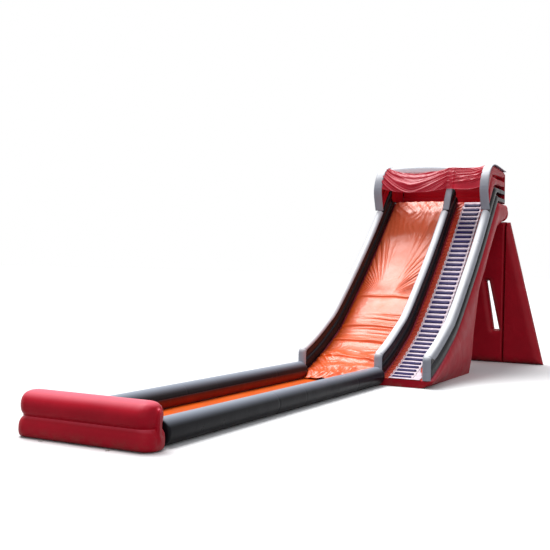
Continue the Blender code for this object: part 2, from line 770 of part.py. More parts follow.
def make_rear_panel(materials, parent):
    """An upright panel behind the tower with a tall leaning wind opening on each side."""
    top = PANEL_TOP_Z - GAP
    half = PANEL_HALF_WIDTH
    corners = [(-half, 0.0), (half, 0.0), (half, top), (-half, top)]
    rings = [[(x, y, z) for x, z in corners] for y in (PANEL_FRONT_Y, PANEL_REAR_Y)]
    panel = lofted("rear_panel", rings, materials["dark_red"], parent)
    for side in ("left", "right"):
        outline = window_corners(side)
        reach = 0.2
        rings = [[(x, y, z) for x, z in outline] for y in (PANEL_FRONT_Y - reach, PANEL_REAR_Y + reach)]
        cutter = lofted(side + "_window_cutter", rings, materials["dark_red"], parent)
        cutter.hide_render = True
        cutter.display_type = "WIRE"
        cut = panel.modifiers.new(side + "_window", "BOOLEAN")
        cut.operation = "DIFFERENCE"
        cut.object = cutter


def make_wing(side, materials, parent):
    """A triangular outrigger sewn to the rear panel's edge."""
    sign = 1 if side == "right" else -1
    middle = PANEL_FRONT_Y + PANEL_THICKNESS / 2
    half = WING_THICKNESS / 2
    inner = PANEL_HALF_WIDTH + GAP
    rings = []
    top = PANEL_TOP_Z - 0.02
    for i in range(6):
        share = i / 5
        z = share * top
        outer = WING_FOOT_X + share * (WING_TOP_X - WING_FOOT_X)
        edge = min(0.22, (outer - inner) * 0.6)
        section = [(inner, -half), (outer - edge, -half), (outer - edge * 0.3, -half * 0.72), (outer, 0.0),
                   (outer - edge * 0.3, half * 0.72), (outer - edge, half), (inner, half)]
        rings.append([(sign * x, middle + y, z) for x, y in section])
    lofted(side + "_wing", rings, materials["dark_red"], parent)


def make_crossbar(materials, parent):
    """The level tube that joins the platform's rear to the top of the rear panel."""
    z = PANEL_TOP_Z + CROSSBAR_RADIUS
    half = CROSSBAR_LENGTH / 2
    rings = round_rings(CROSSBAR_RADIUS, -half, half, CROSSBAR_Y, z)
    lofted("rear_crossbar", rings, materials["red"], parent, 50)


def tube_along_y(radius, x, y_low, y_high, sides=18):
    """Rings of a tube along Y that lies on the ground, flat underneath, with slightly rounded ends."""
    rings = []
    for y, size in ((y_low, 0.86), (y_low + 0.06, 1.0), (y_high - 0.06, 1.0), (y_high, 0.86)):
        ring = []
        for i in range(sides):
            angle = 2 * pi * (i + 0.5) / sides
            ring.append((x + radius * size * cos(angle), y, max(0.0, radius + radius * size * sin(angle))))
        rings.append(ring)
    return rings


def bed_edge(x_tube, inward, lowest):
    """Half of the bed's section: a lip up the tube's inner side, then the bed's top beside it."""
    radius = RUNOUT_TUBE_RADIUS
    centre_z = radius - lowest
    outside = []
    for degrees in (-70, -50, -30, -10, 0):
        angle = radians(degrees)
        reach = radius + 2 * GAP
        outside.append((x_tube + inward * reach * cos(angle), centre_z + reach * sin(angle)))
    inside = []
    for degrees in (0, -10, -30, -50):
        angle = radians(degrees)
        reach = radius + BED_LIP_THICKNESS
        inside.append((x_tube + inward * reach * cos(angle), centre_z + reach * sin(angle)))
    foot = (x_tube + inward * (radius * cos(radians(70)) + 0.01), 0.0)
    return [foot, *outside, *inside, (inside[-1][0] + inward * 0.05, BED_HEIGHT)]


def make_runout(materials, parent):
    """Two long tubes with a low bed between them, whose edges run up the tubes' inner sides."""
    y_low = -RUNOUT_LENGTH + GAP
    y_high = NOSE_Y - RIBBON_THICKNESS - 2 * GAP
    radius = RUNOUT_TUBE_RADIUS
    lowest = radius * (1 - cos(pi / 18))
    for side, x in (("left", -WALL_X), ("right", MIDDLE_WALL_X)):
        rings = [[(px, py, pz - lowest if pz > lowest else 0.0) for px, py, pz in ring]
                 for ring in tube_along_y(radius, x, y_low, y_high)]
        lofted(side + "_runout_tube", rings, materials["black"], parent)
    section = bed_edge(-WALL_X, 1, lowest) + bed_edge(MIDDLE_WALL_X, -1, lowest)[::-1]
    y_end = NOSE_Y - COVER_THICKNESS - 2 * GAP
    rings = [[(x, y, z) for x, z in section] for y in (y_low, y_low / 2, y_end)]
    lofted("runout_bed", rings, materials["orange"], parent)


def bumper_ring(x, size, z_low, z_high):
    """One cross-section of a bumper lobe; size shrinks it near the rounded ends."""
    section = FLOOR_LOBE_SECTION if z_low == 0.0 else LOBE_SECTION
    centre_z = (z_low + z_high) / 2
    half_height = (z_high - z_low) / 2
    middle = -RUNOUT_LENGTH - BUMPER_DEPTH / 2
    half_depth = BUMPER_DEPTH / 2 * (0.55 + 0.45 * size)
    ring = []
    for across, up in section:
        ring.append((x, middle + across * half_depth, centre_z + up * half_height))
    return ring


def make_bumper(materials, parent):
    low = -WALL_X - RUNOUT_TUBE_RADIUS - BUMPER_OVERHANG[0]
    high = MIDDLE_WALL_X + RUNOUT_TUBE_RADIUS + BUMPER_OVERHANG[1]
    steps = ((0.0, 0.0), (0.05, 0.45), (0.16, 0.80), (0.34, 1.0))
    stations = [(low + d, s) for d, s in steps] + [(high - d, s) for d, s in reversed(steps)]
    lobes = (("lower", 0.0, BUMPER_WAIST_Z), ("upper", BUMPER_WAIST_Z + GAP, BUMPER_HEIGHT))
    for name, z_low, z_high in lobes:
        rings = [bumper_ring(x, size, z_low, z_high) for x, size in stations]
        lofted("bumper_" + name + "_lobe", rings, materials["red"], parent)


def add_boolean(target, tool, operation):
    step = target.modifiers.new(tool.name, "BOOLEAN")
    step.operation = operation
    step.object = tool
    tool.hide_render = True
    tool.display_type = "WIRE"


def circle(radius, x, sides):
    """Points round a circle that faces along X."""
    angles = [2 * pi * i / sides for i in range(sides)]
    return [(x, radius * cos(angle), radius * sin(angle)) for angle in angles]


def disc_rings(radius, x_low, x_high, sides=24):
    return [circle(radius, x, sides) for x in (x_low, x_high)]


def box_rings(low, high):
    corners = [(low[1], low[2]), (high[1], low[2]), (high[1], high[2]), (low[1], high[2])]
    return [[(x, y, z) for y, z in corners] for x in (low[0], high[0])]


def scroll_outline(radius, size, reach):
    """A fan casing seen along its shaft: a round drum with a square outlet low on the tower's side."""
    bottom = -radius
    points = []
    steps = 20
    start = -pi / 2
    end = pi - 0.35
    for i in range(steps + 1):
        angle = start + (end - start) * i / steps
        points.append((radius * cos(angle), radius * sin(angle)))
    points.append((-radius * 0.98, bottom + size))
    points.append((-reach, bottom + size))
    points.append((-reach, bottom))
    return points


def make_blower(side, x, materials, parent):
    """A centrifugal blower: casing, motor, spinning fan, inlet guard and rocker switch."""
    centre = make_empty(side + "_blower_axis", (x, BLOWER_Y, FAN_CENTRE_Z), parent)
    half = SCROLL_WIDTH / 2
    outer = scroll_outline(SCROLL_RADIUS, OUTLET_SIZE, OUTLET_REACH)
    casing = lofted(side + "_blower_casing", [[(px, y, z) for y, z in outer] for px in (-half, half)],
                    materials["blower"], centre)
    inner = scroll_outline(SCROLL_RADIUS - SHEET, OUTLET_SIZE - 2 * SHEET, OUTLET_REACH + 0.1)
    hollow = half - SHEET
    cavity = lofted(side + "_casing_cavity", [[(px, y, z) for y, z in inner] for px in (-hollow, hollow)],
                    materials["blower"], centre)
    rings = disc_rings(INLET_RADIUS, 0.0, half + 0.1)
    inlet = lofted(side + "_inlet_hole", rings, materials["blower"], centre)
    rings = disc_rings(SHAFT_RADIUS + SHAFT_CLEARANCE, -half - 0.1, 0.0, 12)
    shaft_hole = lofted(side + "_shaft_hole", rings, materials["blower"], centre)
    for tool in (cavity, inlet, shaft_hole):
        add_boolean(casing, tool, "DIFFERENCE")
    base_low = (-half, -0.20, -FAN_CENTRE_Z)
    base_high = (half, 0.24, -SCROLL_RADIUS + SHEET / 2)
    stand = lofted(side + "_blower_stand", box_rings(base_low, base_high), materials["blower"], centre)
    add_boolean(casing, stand, "UNION")
    make_fan(side, half, materials, centre)
    make_motor(side, half, materials, centre)
    make_inlet_guard(side, half, materials, centre)


def make_fan(side, half, materials, centre):
    """A disc with a crown of blades, and the shaft stub that the motor turns."""
    sectors = 2 * FAN_BLADES
    disc_low = -half + 0.03
    disc_high = disc_low + 0.012
    blade_high = half - 0.03
    radii = (SHAFT_RADIUS, FAN_RADIUS * 0.80, FAN_RADIUS)
    stub_low = -half
    points = []

    def ring(radius, x):
        start = len(points)
        for i in range(sectors):
            angle = 2 * pi * i / sectors
            points.append((x, radius * cos(angle), radius * sin(angle)))
        return start

    stub_end = ring(radii[0], stub_low)
    back = [ring(r, disc_low) for r in radii]
    front = [ring(r, disc_high) for r in radii[1:]]
    tips = [ring(r, blade_high) for r in radii[1:]]
    faces = [tuple(range(stub_end, stub_end + sectors))]
    faces.append(tuple(reversed(range(front[0], front[0] + sectors))))
    for i in range(sectors):
        j = (i + 1) % sectors
        faces.append((stub_end + i, back[0] + i, back[0] + j, stub_end + j))
        faces.append((back[0] + i, back[1] + i, back[1] + j, back[0] + j))
        faces.append((back[1] + i, back[2] + i, back[2] + j, back[1] + j))
        faces.append((back[2] + i, front[1] + i, front[1] + j, back[2] + j))
        if i % 2:
            faces.append((front[1] + i, front[0] + i, front[0] + j, front[1] + j))
            continue
        faces.append((front[1] + i, tips[1] + i, tips[1] + j, front[1] + j))
        faces.append((tips[1] + i, tips[0] + i, tips[0] + j, tips[1] + j))
        faces.append((tips[0] + i, front[0] + i, front[0] + j, tips[0] + j))
        faces.append((front[0] + i, tips[0] + i, tips[1] + i, front[1] + i))
        faces.append((front[1] + j, tips[1] + j, tips[0] + j, front[0] + j))
    make_object(side + "_blower_fan", points, facing_out(points, faces), materials["steel"], centre)


def make_motor(side, half, materials, centre):
    """A finned motor on the casing's closed side, with a switch box on top."""
    start = -half - GAP
    shape = ((0.0, 1.0), (0.8, 1.0), (1.0, 0.8))
    rings = [circle(MOTOR_RADIUS * size, start - MOTOR_LENGTH * along, 20) for along, size in shape]
    motor = lofted(side + "_blower_motor", rings, materials["steel"], centre)
    box_x = start - MOTOR_LENGTH * 0.45
    box_top = MOTOR_RADIUS + SWITCH_BOX_SIZE[2] - 0.01
    low = (box_x - SWITCH_BOX_SIZE[0] / 2, -SWITCH_BOX_SIZE[1] / 2, MOTOR_RADIUS - 0.03)
    high = (box_x + SWITCH_BOX_SIZE[0] / 2, SWITCH_BOX_SIZE[1] / 2, box_top)
    box = lofted(side + "_switch_box", box_rings(low, high), materials["steel"], centre)
    add_boolean(motor, box, "UNION")
    well_x = ROCKER_SIZE[0] / 2 + ROCKER_CLEARANCE
    well_y = ROCKER_SIZE[1] / 2 + ROCKER_CLEARANCE
    low = (box_x - well_x, -well_y, box_top - ROCKER_SIZE[2])
    high = (box_x + well_x, well_y, box_top + 0.05)
    well = lofted(side + "_switch_well", box_rings(low, high), materials["steel"], centre)
    add_boolean(motor, well, "DIFFERENCE")
    pivot = make_empty(side + "_rocker_axis", (box_x, 0.0, box_top - 0.002), centre)
    pivot.rotation_euler = (-ROCKER_TRAVEL / 2, 0.0, 0.0)
    half_x = ROCKER_SIZE[0] / 2
    half_y = ROCKER_SIZE[1] / 2
    belly = [(-half_y, 0.003), (-half_y * 0.6, -0.006), (0.0, -0.0116), (half_y * 0.6, -0.006)]
    profile = belly + [(half_y, 0.003), (half_y, 0.006), (0.0, 0.003), (-half_y, 0.006)]
    rings = [[(px, y, z) for y, z in profile] for px in (-half_x, half_x)]
    lofted(side + "_blower_switch", rings, materials["black"], pivot)


def make_inlet_guard(side, half, materials, centre):
    """A round wire guard over the inlet: rings joined by spokes."""
    x_low = half + GAP
    x_high = x_low + 0.006
    radii = (0.015, 0.045, 0.052, 0.088, 0.095, INLET_RADIUS - 0.005, INLET_RADIUS + 0.02)
    sectors = 24
    points = []
    for x in (x_low, x_high):
        for radius in radii:
            for i in range(sectors):
                angle = 2 * pi * i / sectors
                points.append((x, radius * cos(angle), radius * sin(angle)))
    layer = len(radii) * sectors
    solid = {(band, i) for band in (1, 3, 5) for i in range(sectors)}
    solid |= {(band, i) for band in (0, 2, 4) for i in range(0, sectors, 6)}
    faces = [tuple(reversed(range(sectors))), tuple(range(layer, layer + sectors))]
    core = {(-1, i) for i in range(sectors)}
    filled = solid | core

    def at(level, ring, i):
        return level * layer + ring * sectors + i % sectors

    for band, i in solid:
        low = [at(0, band, i), at(0, band, i + 1), at(0, band + 1, i + 1), at(0, band + 1, i)]
        high = [at(1, band, i), at(1, band, i + 1), at(1, band + 1, i + 1), at(1, band + 1, i)]
        faces += [tuple(low), tuple(reversed(high))]
        neighbours = ((band - 1, i), (band, (i + 1) % sectors), (band + 1, i), (band, (i - 1) % sectors))
        for a, neighbour in enumerate(neighbours):
            b = (a + 1) % 4
            if neighbour not in filled:
                faces.append((low[b], low[a], high[a], high[b]))
    for i in range(sectors):
        if (0, i) not in filled:
            faces.append((at(0, 0, i), at(0, 0, i + 1), at(1, 0, i + 1), at(1, 0, i)))
    make_object(side + "_inlet_guard", points, facing_out(points, faces), materials["steel"], centre)


def make_sleeve(side, x, materials, parent):
    """The fabric duct from a blower's outlet to the tower's rear face, blown round."""
    outlet_y = BLOWER_Y - OUTLET_REACH - GAP
    outlet_z = FAN_CENTRE_Z - SCROLL_RADIUS + OUTLET_SIZE / 2
    half = OUTLET_SIZE / 2
    rear = rear_face_y(outlet_z + 1.13 * half) + GAP
    rings = []
    sides = 16
    for y, radius, square in ((outlet_y, half * 0.98, 1.0), (outlet_y - 0.10, half * 1.05, 0.6),
                              ((outlet_y + rear) / 2, SLEEVE_RADIUS, 0.0), (rear, half * 1.1, 0.0)):
        ring = []
        for i in range(sides):
            angle = 2 * pi * (i + 0.5) / sides
            stretch = 1.0 / max(abs(cos(angle)), abs(sin(angle)))
            r = radius * (1 + square * (stretch - 1) * 0.9)
            ring.append((x + r * cos(angle), y, max(outlet_z + r * sin(angle), 0.012)))
        rings.append(ring)
    lofted(side + "_inflation_sleeve", rings, materials["dark_red"], parent)


def rear_face_y(z):
    """Where the slab's rear face stands at a height above the ground."""
    top, bottom = slab_lines()
    for a, b in zip(bottom, bottom[1:]):
        if a[1] <= z < b[1]:
            return a[0] + (b[0] - a[0]) * (z - a[1]) / (b[1] - a[1])
    return TOWER_BASE_LENGTH


def make_anchor(spot, x, y_face, materials, parent):
    """A webbing tab from under the slide, rolled round the straight bar of a steel ring."""
    bore = RING_WIRE + RING_CLEARANCE
    shell = bore + TAB_THICKNESS
    bar_z = shell + 0.001
    tab = make_empty("anchor_" + spot + "_spot", (x, y_face - GAP, 0.0), parent)
    outline = []
    steps = 12
    for i in range(steps + 1):
        angle = radians(-90) - radians(290) * i / steps
        outline.append((-TAB_REACH + shell * cos(angle), bar_z + shell * sin(angle)))
    for i in reversed(range(steps + 1)):
        angle = radians(-90) - radians(290) * i / steps
        outline.append((-TAB_REACH + bore * cos(angle), bar_z + bore * sin(angle)))
    outline.append((0.0, bar_z - bore))
    outline.append((0.0, bar_z - shell))
    half = TAB_WIDTH / 2
    rings = [[(px, y, z) for y, z in outline] for px in (-half, half)]
    lofted("anchor_tab_" + spot, rings, materials["webbing"], tab)
    axis = make_empty("anchor_" + spot + "_axis", (0.0, -TAB_REACH, bar_z), tab)
    make_ring(spot, materials, axis)


def make_ring(spot, materials, axis):
    """A D-shaped steel ring: a straight bar and a round bow."""
    half = RING_WIDTH / 2
    path = [(-half, 0.0), (-half / 2, 0.0), (half / 2, 0.0), (half, 0.0)]
    bow = 10
    for i in range(bow + 1):
        angle = pi * i / bow
        path.append((half * cos(angle), -0.010 - (RING_HEIGHT - 0.010) * sin(angle)))
    points = []
    sides = 8
    count = len(path)
    for k, (px, py) in enumerate(path):
        before = path[k - 1]
        after = path[(k + 1) % count]
        along = Vector((after[0] - before[0], after[1] - before[1], 0)).normalized()
        out = Vector((along.y, -along.x, 0))
        for i in range(sides):
            angle = 2 * pi * i / sides
            offset_by = out * (RING_WIRE * cos(angle)) + Vector((0, 0, RING_WIRE * sin(angle)))
            points.append(tuple(Vector((px, py, 0)) + offset_by))
    faces = []
    for k in range(count):
        a = k * sides
        b = ((k + 1) % count) * sides
        for i in range(sides):
            j = (i + 1) % sides
            faces.append((a + i, a + j, b + j, b + i))
    make_object("anchor_ring_" + spot, points, facing_out(points, faces), materials["steel"], axis)


def make_zip(materials, parent):
    """A deflation zip on the rear panel's back: a flat tape and its slider at one end."""
    face = PANEL_REAR_Y + GAP
    low = (-ZIP_LENGTH / 2, face, ZIP_Z - ZIP_WIDTH / 2)
    high = (ZIP_LENGTH / 2, face + ZIP_THICKNESS, ZIP_Z + ZIP_WIDTH / 2)
    lofted("zip_tape", box_rings(low, high), materials["black"], parent)
    place = (-ZIP_LENGTH / 2 + SLIDER_SIZE[0], face + ZIP_THICKNESS + GAP, ZIP_Z)
    start = make_empty("zip_slider_start", place, parent)
    half = SLIDER_SIZE[0] / 2
    low = (-half, 0.0, -SLIDER_SIZE[2] / 2)
    high = (half, SLIDER_SIZE[1], SLIDER_SIZE[2] / 2)
    lofted("zip_slider", box_rings(low, high), materials["steel"], start)


def main():
    clear_scene()
    materials = {
        "red": make_material("red_vinyl", (0.42, 0.01, 0.03), 0.35),
        "dark_red": make_material("dark_red_vinyl", (0.22, 0.005, 0.015), 0.4),
        "black": make_material("black_vinyl", (0.012, 0.011, 0.014), 0.35),
        "silver": make_material("silver_vinyl", (0.62, 0.65, 0.68), 0.35),
        "orange": make_material("orange_vinyl", (0.85, 0.12, 0.02), 0.25),
        "white": make_material("white_vinyl", (0.85, 0.83, 0.84), 0.4),
        "navy": make_material("navy_foam", (0.02, 0.015, 0.10), 0.6),
        "blower": make_material("blower_plastic", (0.75, 0.45, 0.03), 0.45),
        "steel": make_material("steel", (0.55, 0.56, 0.58), 0.3, 1.0),
        "webbing": make_material("webbing", (0.60, 0.56, 0.48), 0.8),
    }
    root = make_empty("slide_origin", (0.0, SHIFT_Y, 0.0))
    make_slab(materials, root)
    for side, x in (("left", -WALL_X), ("middle", MIDDLE_WALL_X), ("right", WALL_X)):
        make_wall(side, x, materials, root)
        make_ribbon(side, x, materials, root)
    make_post(materials, root)
    for side, x in (("left", -WALL_X), ("right", WALL_X)):
        make_arch_band(side, x, materials, root)
        make_flank(side, materials, root)
        make_side_tubes(side, x, materials, root)
        make_side_liner(side, materials, root)
        make_wing(side, materials, root)
    make_lane_covers(materials, root)
    make_rung_ladder(materials, root)
    edge = WALL_X - WALL_WIDTH / 2 - GAP
    make_canopy_bay("left", -edge, LEFT_BAY_SAG, materials, root)
    make_canopy_bay("right", edge, RIGHT_BAY_SAG, materials, root)
    make_roof_bar(materials, root)
    make_back_wall(materials, root)
    make_rear_panel(materials, root)
    make_crossbar(materials, root)
    make_runout(materials, root)
    make_bumper(materials, root)
    for side, x in BLOWER_XS.items():
        make_blower(side, x, materials, root)
        make_sleeve(side, x, materials, root)
    for spot, x in ANCHOR_SPOTS.items():
        face = BUMPER_TOE_Y if spot.startswith("bumper") else NOSE_Y
        make_anchor(spot, x, face, materials, root)
    make_zip(materials, root)


main()
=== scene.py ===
"""The looks of a giant inflatable slide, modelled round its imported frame.

Lines and sizes are in metres in the tower's own coordinates: x is centred on the tower, y starts at
the tower's front corner and runs to the rear, and z is up. SHIFT_Y moves them into the frame.
"""
import bpy
import numpy as np
from math import cos, pi, radians, sin
from mathutils import Matrix, Vector
from mathutils.geometry import delaunay_2d_cdt


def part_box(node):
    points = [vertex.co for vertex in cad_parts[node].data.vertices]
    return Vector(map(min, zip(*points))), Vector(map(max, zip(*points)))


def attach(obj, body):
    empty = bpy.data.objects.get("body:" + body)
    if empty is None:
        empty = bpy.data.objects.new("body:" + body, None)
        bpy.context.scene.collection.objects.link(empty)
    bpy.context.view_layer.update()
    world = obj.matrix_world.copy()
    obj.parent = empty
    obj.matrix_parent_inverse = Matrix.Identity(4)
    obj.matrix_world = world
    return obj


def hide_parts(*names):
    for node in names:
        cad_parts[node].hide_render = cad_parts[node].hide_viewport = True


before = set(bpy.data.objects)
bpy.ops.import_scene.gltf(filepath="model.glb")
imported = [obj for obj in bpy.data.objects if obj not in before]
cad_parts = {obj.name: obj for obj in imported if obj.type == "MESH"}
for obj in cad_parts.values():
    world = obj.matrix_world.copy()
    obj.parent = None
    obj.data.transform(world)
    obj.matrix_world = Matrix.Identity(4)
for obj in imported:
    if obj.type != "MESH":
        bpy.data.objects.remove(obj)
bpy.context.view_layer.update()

# Walls and lanes; GAP keeps neighbours apart
WALL_WIDTH = 0.32
WALL_HEIGHT = 0.92
LOBE_HALF = 0.18
UPPER_LOBE = 0.48 * WALL_HEIGHT
WALL_X = 2.64
MIDDLE_X = 0.66
WALLS = {"left": -WALL_X, "middle": MIDDLE_X, "right": WALL_X}
SIDES = {"left": -1, "right": 1}
LOBE_POWER = 2.6
LANE_HALF = WALL_X - LOBE_HALF
NOSE_Y = -0.38
NOSE_RADIUS = 0.16
DRAW_IN = 0.0032
GAP = 0.0004
PLATFORM = 7.80
SLOPE_POINTS = [(NOSE_Y, 1.20), (0.70, 1.62), (1.80, 2.16), (2.82, 2.76), (4.69, 4.31), (6.40, 5.86),
                (7.84, 7.30), (9.00, 8.47)]
COARSE_STEPS = 3
FINE = 8
BREAK_SPANS = 6

# Ribbons, rails and the cabin
RIBBON_CROWN = 0.05
RIBBON_EDGE = 0.010
RIBBON_FOOT_Z = 0.30
RIBBON_LIP = 60.0
RIBBON_TURN = 38.0
RIBBON_SEAMS = {"left": (3.55, 7.4), "middle": (4.2, 8.6), "right": (5.0, 9.1)}
NOSE_SEAMS = (0.30, 0.92)
CABIN_REAR_Y = 10.90
ARCH_POINTS = [(7.85, 7.365), (7.58, 8.09), (7.59, 8.50), (7.79, 8.95), (8.23, 9.34), (8.96, 9.49),
               (CABIN_REAR_Y, 9.36)]
ARCH_STEPS = 4
ARCH_CROWN = 0.07
ARCH_HALF = 0.205
ARCH_OUT = 0.012
TUBE_HALF = 0.15
RAILS = {"upper_top": (8.49, 9.38), "upper_bottom": (8.26, 9.52), "lower_top": (8.09, 9.56),
         "lower_bottom": (7.86, 9.70)}
RAIL_ENDS = (9.75, 10.30, CABIN_REAR_Y)
CABIN_SEAM = [(7.93, 7.56), (8.02, 8.02), (8.20, 8.48), (8.55, 8.87), (9.05, 9.05),
              (CABIN_REAR_Y, 9.06)]
SIDE_SLOTS = (0.15, 0.14)
POST_LINE = [(7.90, 7.361), (8.00, 7.90), (8.118, 8.32), (8.240, 8.76), (8.354, 9.10)]
POST_X = (0.71, 0.82)
POST_HEM_Z = 8.36
CANOPY_MIDDLE = [(8.03, 8.36), (8.145, 8.78), (8.27, 9.12), (8.41, 9.40)]
CANOPY_THICKNESS = 0.012
BAR_FRONT_Y = 8.48
BAR_DEPTH = 0.54
BAR_TOP = 9.47
BAR_THICKNESS = 0.34
BAR_SEAMS = (-1.55, -0.45, MIDDLE_X, 1.65)
BACK_WALL_TOP = 9.28
BACK_WALL_DEPTH = 0.28
LINING_TOP = 9.10

# Slab, side panels and rear support
SLAB_REAR_Y = 11.47
SLAB_HALF = 2.40
PANEL_TOP = 7.00
SLAB_CORNERS = [(NOSE_Y, 0.0), (6.00, 0.0), (6.10, 1.20), (6.35, 2.90), (6.80, 3.45), (7.45, 3.98),
                (8.30, 5.00), (9.90, PANEL_TOP - 0.50), (SLAB_REAR_Y, PANEL_TOP)]
FLANK_PROFILE = [(0.0, 2.70), (0.06, 2.80), (0.22, 2.86), (0.45, 2.83), (0.70, 2.75), (0.88, 2.61),
                 (1.0, 2.51)]
FLANK_INNER = 2.44
FLANK_SEAMS = (3.9, 8.1)
CHANNEL = 0.48
PANEL_Y = (11.60, 12.30)
PANEL_HALF = 2.58
CROSSBAR_RADIUS = 0.42
CROSSBAR_HALF = 2.65
WING_FOOT = 4.54
WING_TOP = 2.78
WING_THICKNESS = 0.62
PANEL_SEAMS = (-0.84, -0.28, 0.28, 0.84)
PANEL_EDGE = 0.36
WING_EDGE = 0.40
SEWN_EDGE_SHARE = 6.0
WINDOW = [(2.10, 1.66), (2.34, 1.66), (1.80, 4.05), (1.70, 4.05)]

# Runout
RUNOUT_LENGTH = 15.20
RUNOUT_RADIUS = 0.36
RUNOUT_SEAMS = (-3.1, -7.4, -9.3)
BED_HEIGHT = 0.06
BUMPER_DEPTH = 0.98
BUMPER_WAIST = 0.56
BUMPER_X = (-3.17, 1.07)

# Stairs
MAT_X = (1.12, 2.10)
RUNG_X = (1.20, 1.98)
RUNGS = 40
RUNG_DEPTH = 0.11
RUNG_SPREAD = 0.165
RUNG_HEIGHT = 0.045

SHIFT_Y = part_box("runout_bed")[1].y - (NOSE_Y - 0.012 - 2 * GAP)

LATTICE_SIZE = 128
LATTICE = np.random.default_rng(11).uniform(-1, 1, (LATTICE_SIZE, LATTICE_SIZE))


def noise(u, v=0.0):
    """Smooth noise from -1 to 1, with features about one unit wide."""
    u, v = np.broadcast_arrays(np.asarray(u, float), np.asarray(v, float))
    i = np.floor(u).astype(int)
    j = np.floor(v).astype(int)
    a = u - i
    b = v - j
    a = a * a * (3 - 2 * a)
    b = b * b * (3 - 2 * b)
    corner = [[LATTICE[(i + di) % LATTICE_SIZE, (j + dj) % LATTICE_SIZE] for dj in (0, 1)] for di in (0, 1)]
    low = corner[0][0] * (1 - a) + corner[1][0] * a
    high = corner[0][1] * (1 - a) + corner[1][1] * a
    return low * (1 - b) + high * b


def rough_noise(u, v):
    """Three layers of noise, each twice as fine and half as high as the one before."""
    total = 0.0
    for k in range(3):
        total = total + noise(np.asarray(u) * 2**k + 17.3 * k, np.asarray(v) * 2**k + 5.1 * k) / 2**k
    return total


def fold(phase, sharpness=2.0):
    """A row of folds from 0 to 1, one for each whole phase, with crests sharper than valleys."""
    return (0.5 + 0.5 * np.cos(2 * pi * phase)) ** sharpness


def crimp(run, pitch, seed):
    """Uneven waves along a seam, from about -1 to 1."""
    phase = run / pitch + 0.45 * noise(run / (2.5 * pitch), seed)
    return np.sin(2 * pi * phase) * (0.65 + 0.35 * noise(run / (3 * pitch), seed + 7.3))


def soft_step(value, low, high):
    t = np.clip((value - low) / (high - low), 0, 1)
    return t * t * (3 - 2 * t)


def bump(value, centre, width):
    return np.exp(-(((value - centre) / width) ** 2))


def round_share(depth, radius, power=2.3):
    """How full a rounded edge is at a depth from its rim, from 0 to 1."""
    t = 1 - np.clip(np.asarray(depth, float) / radius, 0, 1)
    return (1 - t**power) ** (1 / power)


def through(points, steps):
    """A Catmull-Rom curve through points in the side view."""
    p = np.array(points, float)
    p = np.vstack([2 * p[0] - p[1], p, 2 * p[-1] - p[-2]])
    t = np.arange(steps)[:, None] / steps
    spans = []
    for a, b, c, d in zip(p, p[1:], p[2:], p[3:]):
        spans.append(((-t + 2 * t**2 - t**3) * a + (2 - 5 * t**2 + 3 * t**3) * b
                      + (t + 4 * t**2 - 3 * t**3) * c + (t**3 - t**2) * d) / 2)
    return np.vstack([*spans, p[-2:-1]])


def straight(points, steps):
    """Points evenly placed on each straight span of a line."""
    p = np.array(points, float)
    t = np.arange(steps)[:, None] / steps
    return np.vstack([*(a + t * (b - a) for a, b in zip(p, p[1:])), p[-1:]])


def normals_of(line):
    """Unit normals that point up and forward of a line in the side view."""
    step = np.empty_like(line)
    step[1:-1] = line[2:] - line[:-2]
    step[0] = line[1] - line[0]
    step[-1] = line[-1] - line[-2]
    normal = np.stack([-step[:, 1], step[:, 0]], 1)
    return normal / np.linalg.norm(normal, axis=1)[:, None]


def offset(line, distance):
    return line + normals_of(line) * distance


def xyz(x, y, z):
    """Points from coordinates of any matching shapes."""
    return np.stack(np.broadcast_arrays(x, y, z), -1)


def run_of(line):
    return np.r_[0.0, np.cumsum(np.linalg.norm(np.diff(line, axis=0), axis=1))]


def at_places(places, run, line):
    """Points of a line at places, where run holds the place of each of its points."""
    return np.stack([np.interp(places, run, line[:, i]) for i in (0, 1)], -1)


def sample(line, places):
    """Points of a line at distances along it."""
    return at_places(places, run_of(line), line)


def at_shares(line, shares):
    """Points of a line at shares of its length."""
    return sample(line, shares * run_of(line)[-1])


def evenly(line, step):
    """Points of a line about a step apart, and their distances along it."""
    length = run_of(line)[-1]
    places = np.linspace(0, length, int(length / step))
    return sample(line, places), places


NEAR_ENDS = np.array([0.0, 0.012, 0.03, 0.055, 0.09])


def pair_up(outer, inner, step):
    """Both lines at the same places, a step apart and closer at the ends, and the distances along."""
    run = run_of((outer + inner) / 2)
    margin = NEAR_ENDS[-1] + step / 2
    inside = np.linspace(margin, run[-1] - NEAR_ENDS[-1] - step / 2, int(run[-1] / step))
    places = np.r_[NEAR_ENDS, inside, run[-1] - NEAR_ENDS[::-1]]
    return at_places(places, run, outer), at_places(places, run, inner), places


def lean(points):
    """The tower's sides draw in a little towards the top."""
    points = np.array(points, float)
    points[..., 0] *= 1 - DRAW_IN * points[..., 2]
    return points


def above(x, line, normals, height):
    """Points at x and at heights over a line in the side view, with the tower's lean."""
    return lean(xyz(x, *(line[..., i] + normals[..., i] * height for i in (0, 1))))


SLOPE = through(SLOPE_POINTS, COARSE_STEPS * FINE)
SLOPE_NORMALS = normals_of(SLOPE)
BREAK = BREAK_SPANS * COARSE_STEPS * FINE
ARCH = through(ARCH_POINTS, ARCH_STEPS * 4)


def slope_offset(depth):
    """The slope line moved down into the wall, cut square at the nose."""
    line = SLOPE - SLOPE_NORMALS * depth
    line[0] = (NOSE_Y, SLOPE[0, 1] - depth)
    return line


BED = slope_offset(WALL_HEIGHT)
BED_RUN = run_of(BED)
BED_LENGTH = BED_RUN[-1]
BED_NORMALS = normals_of(BED)


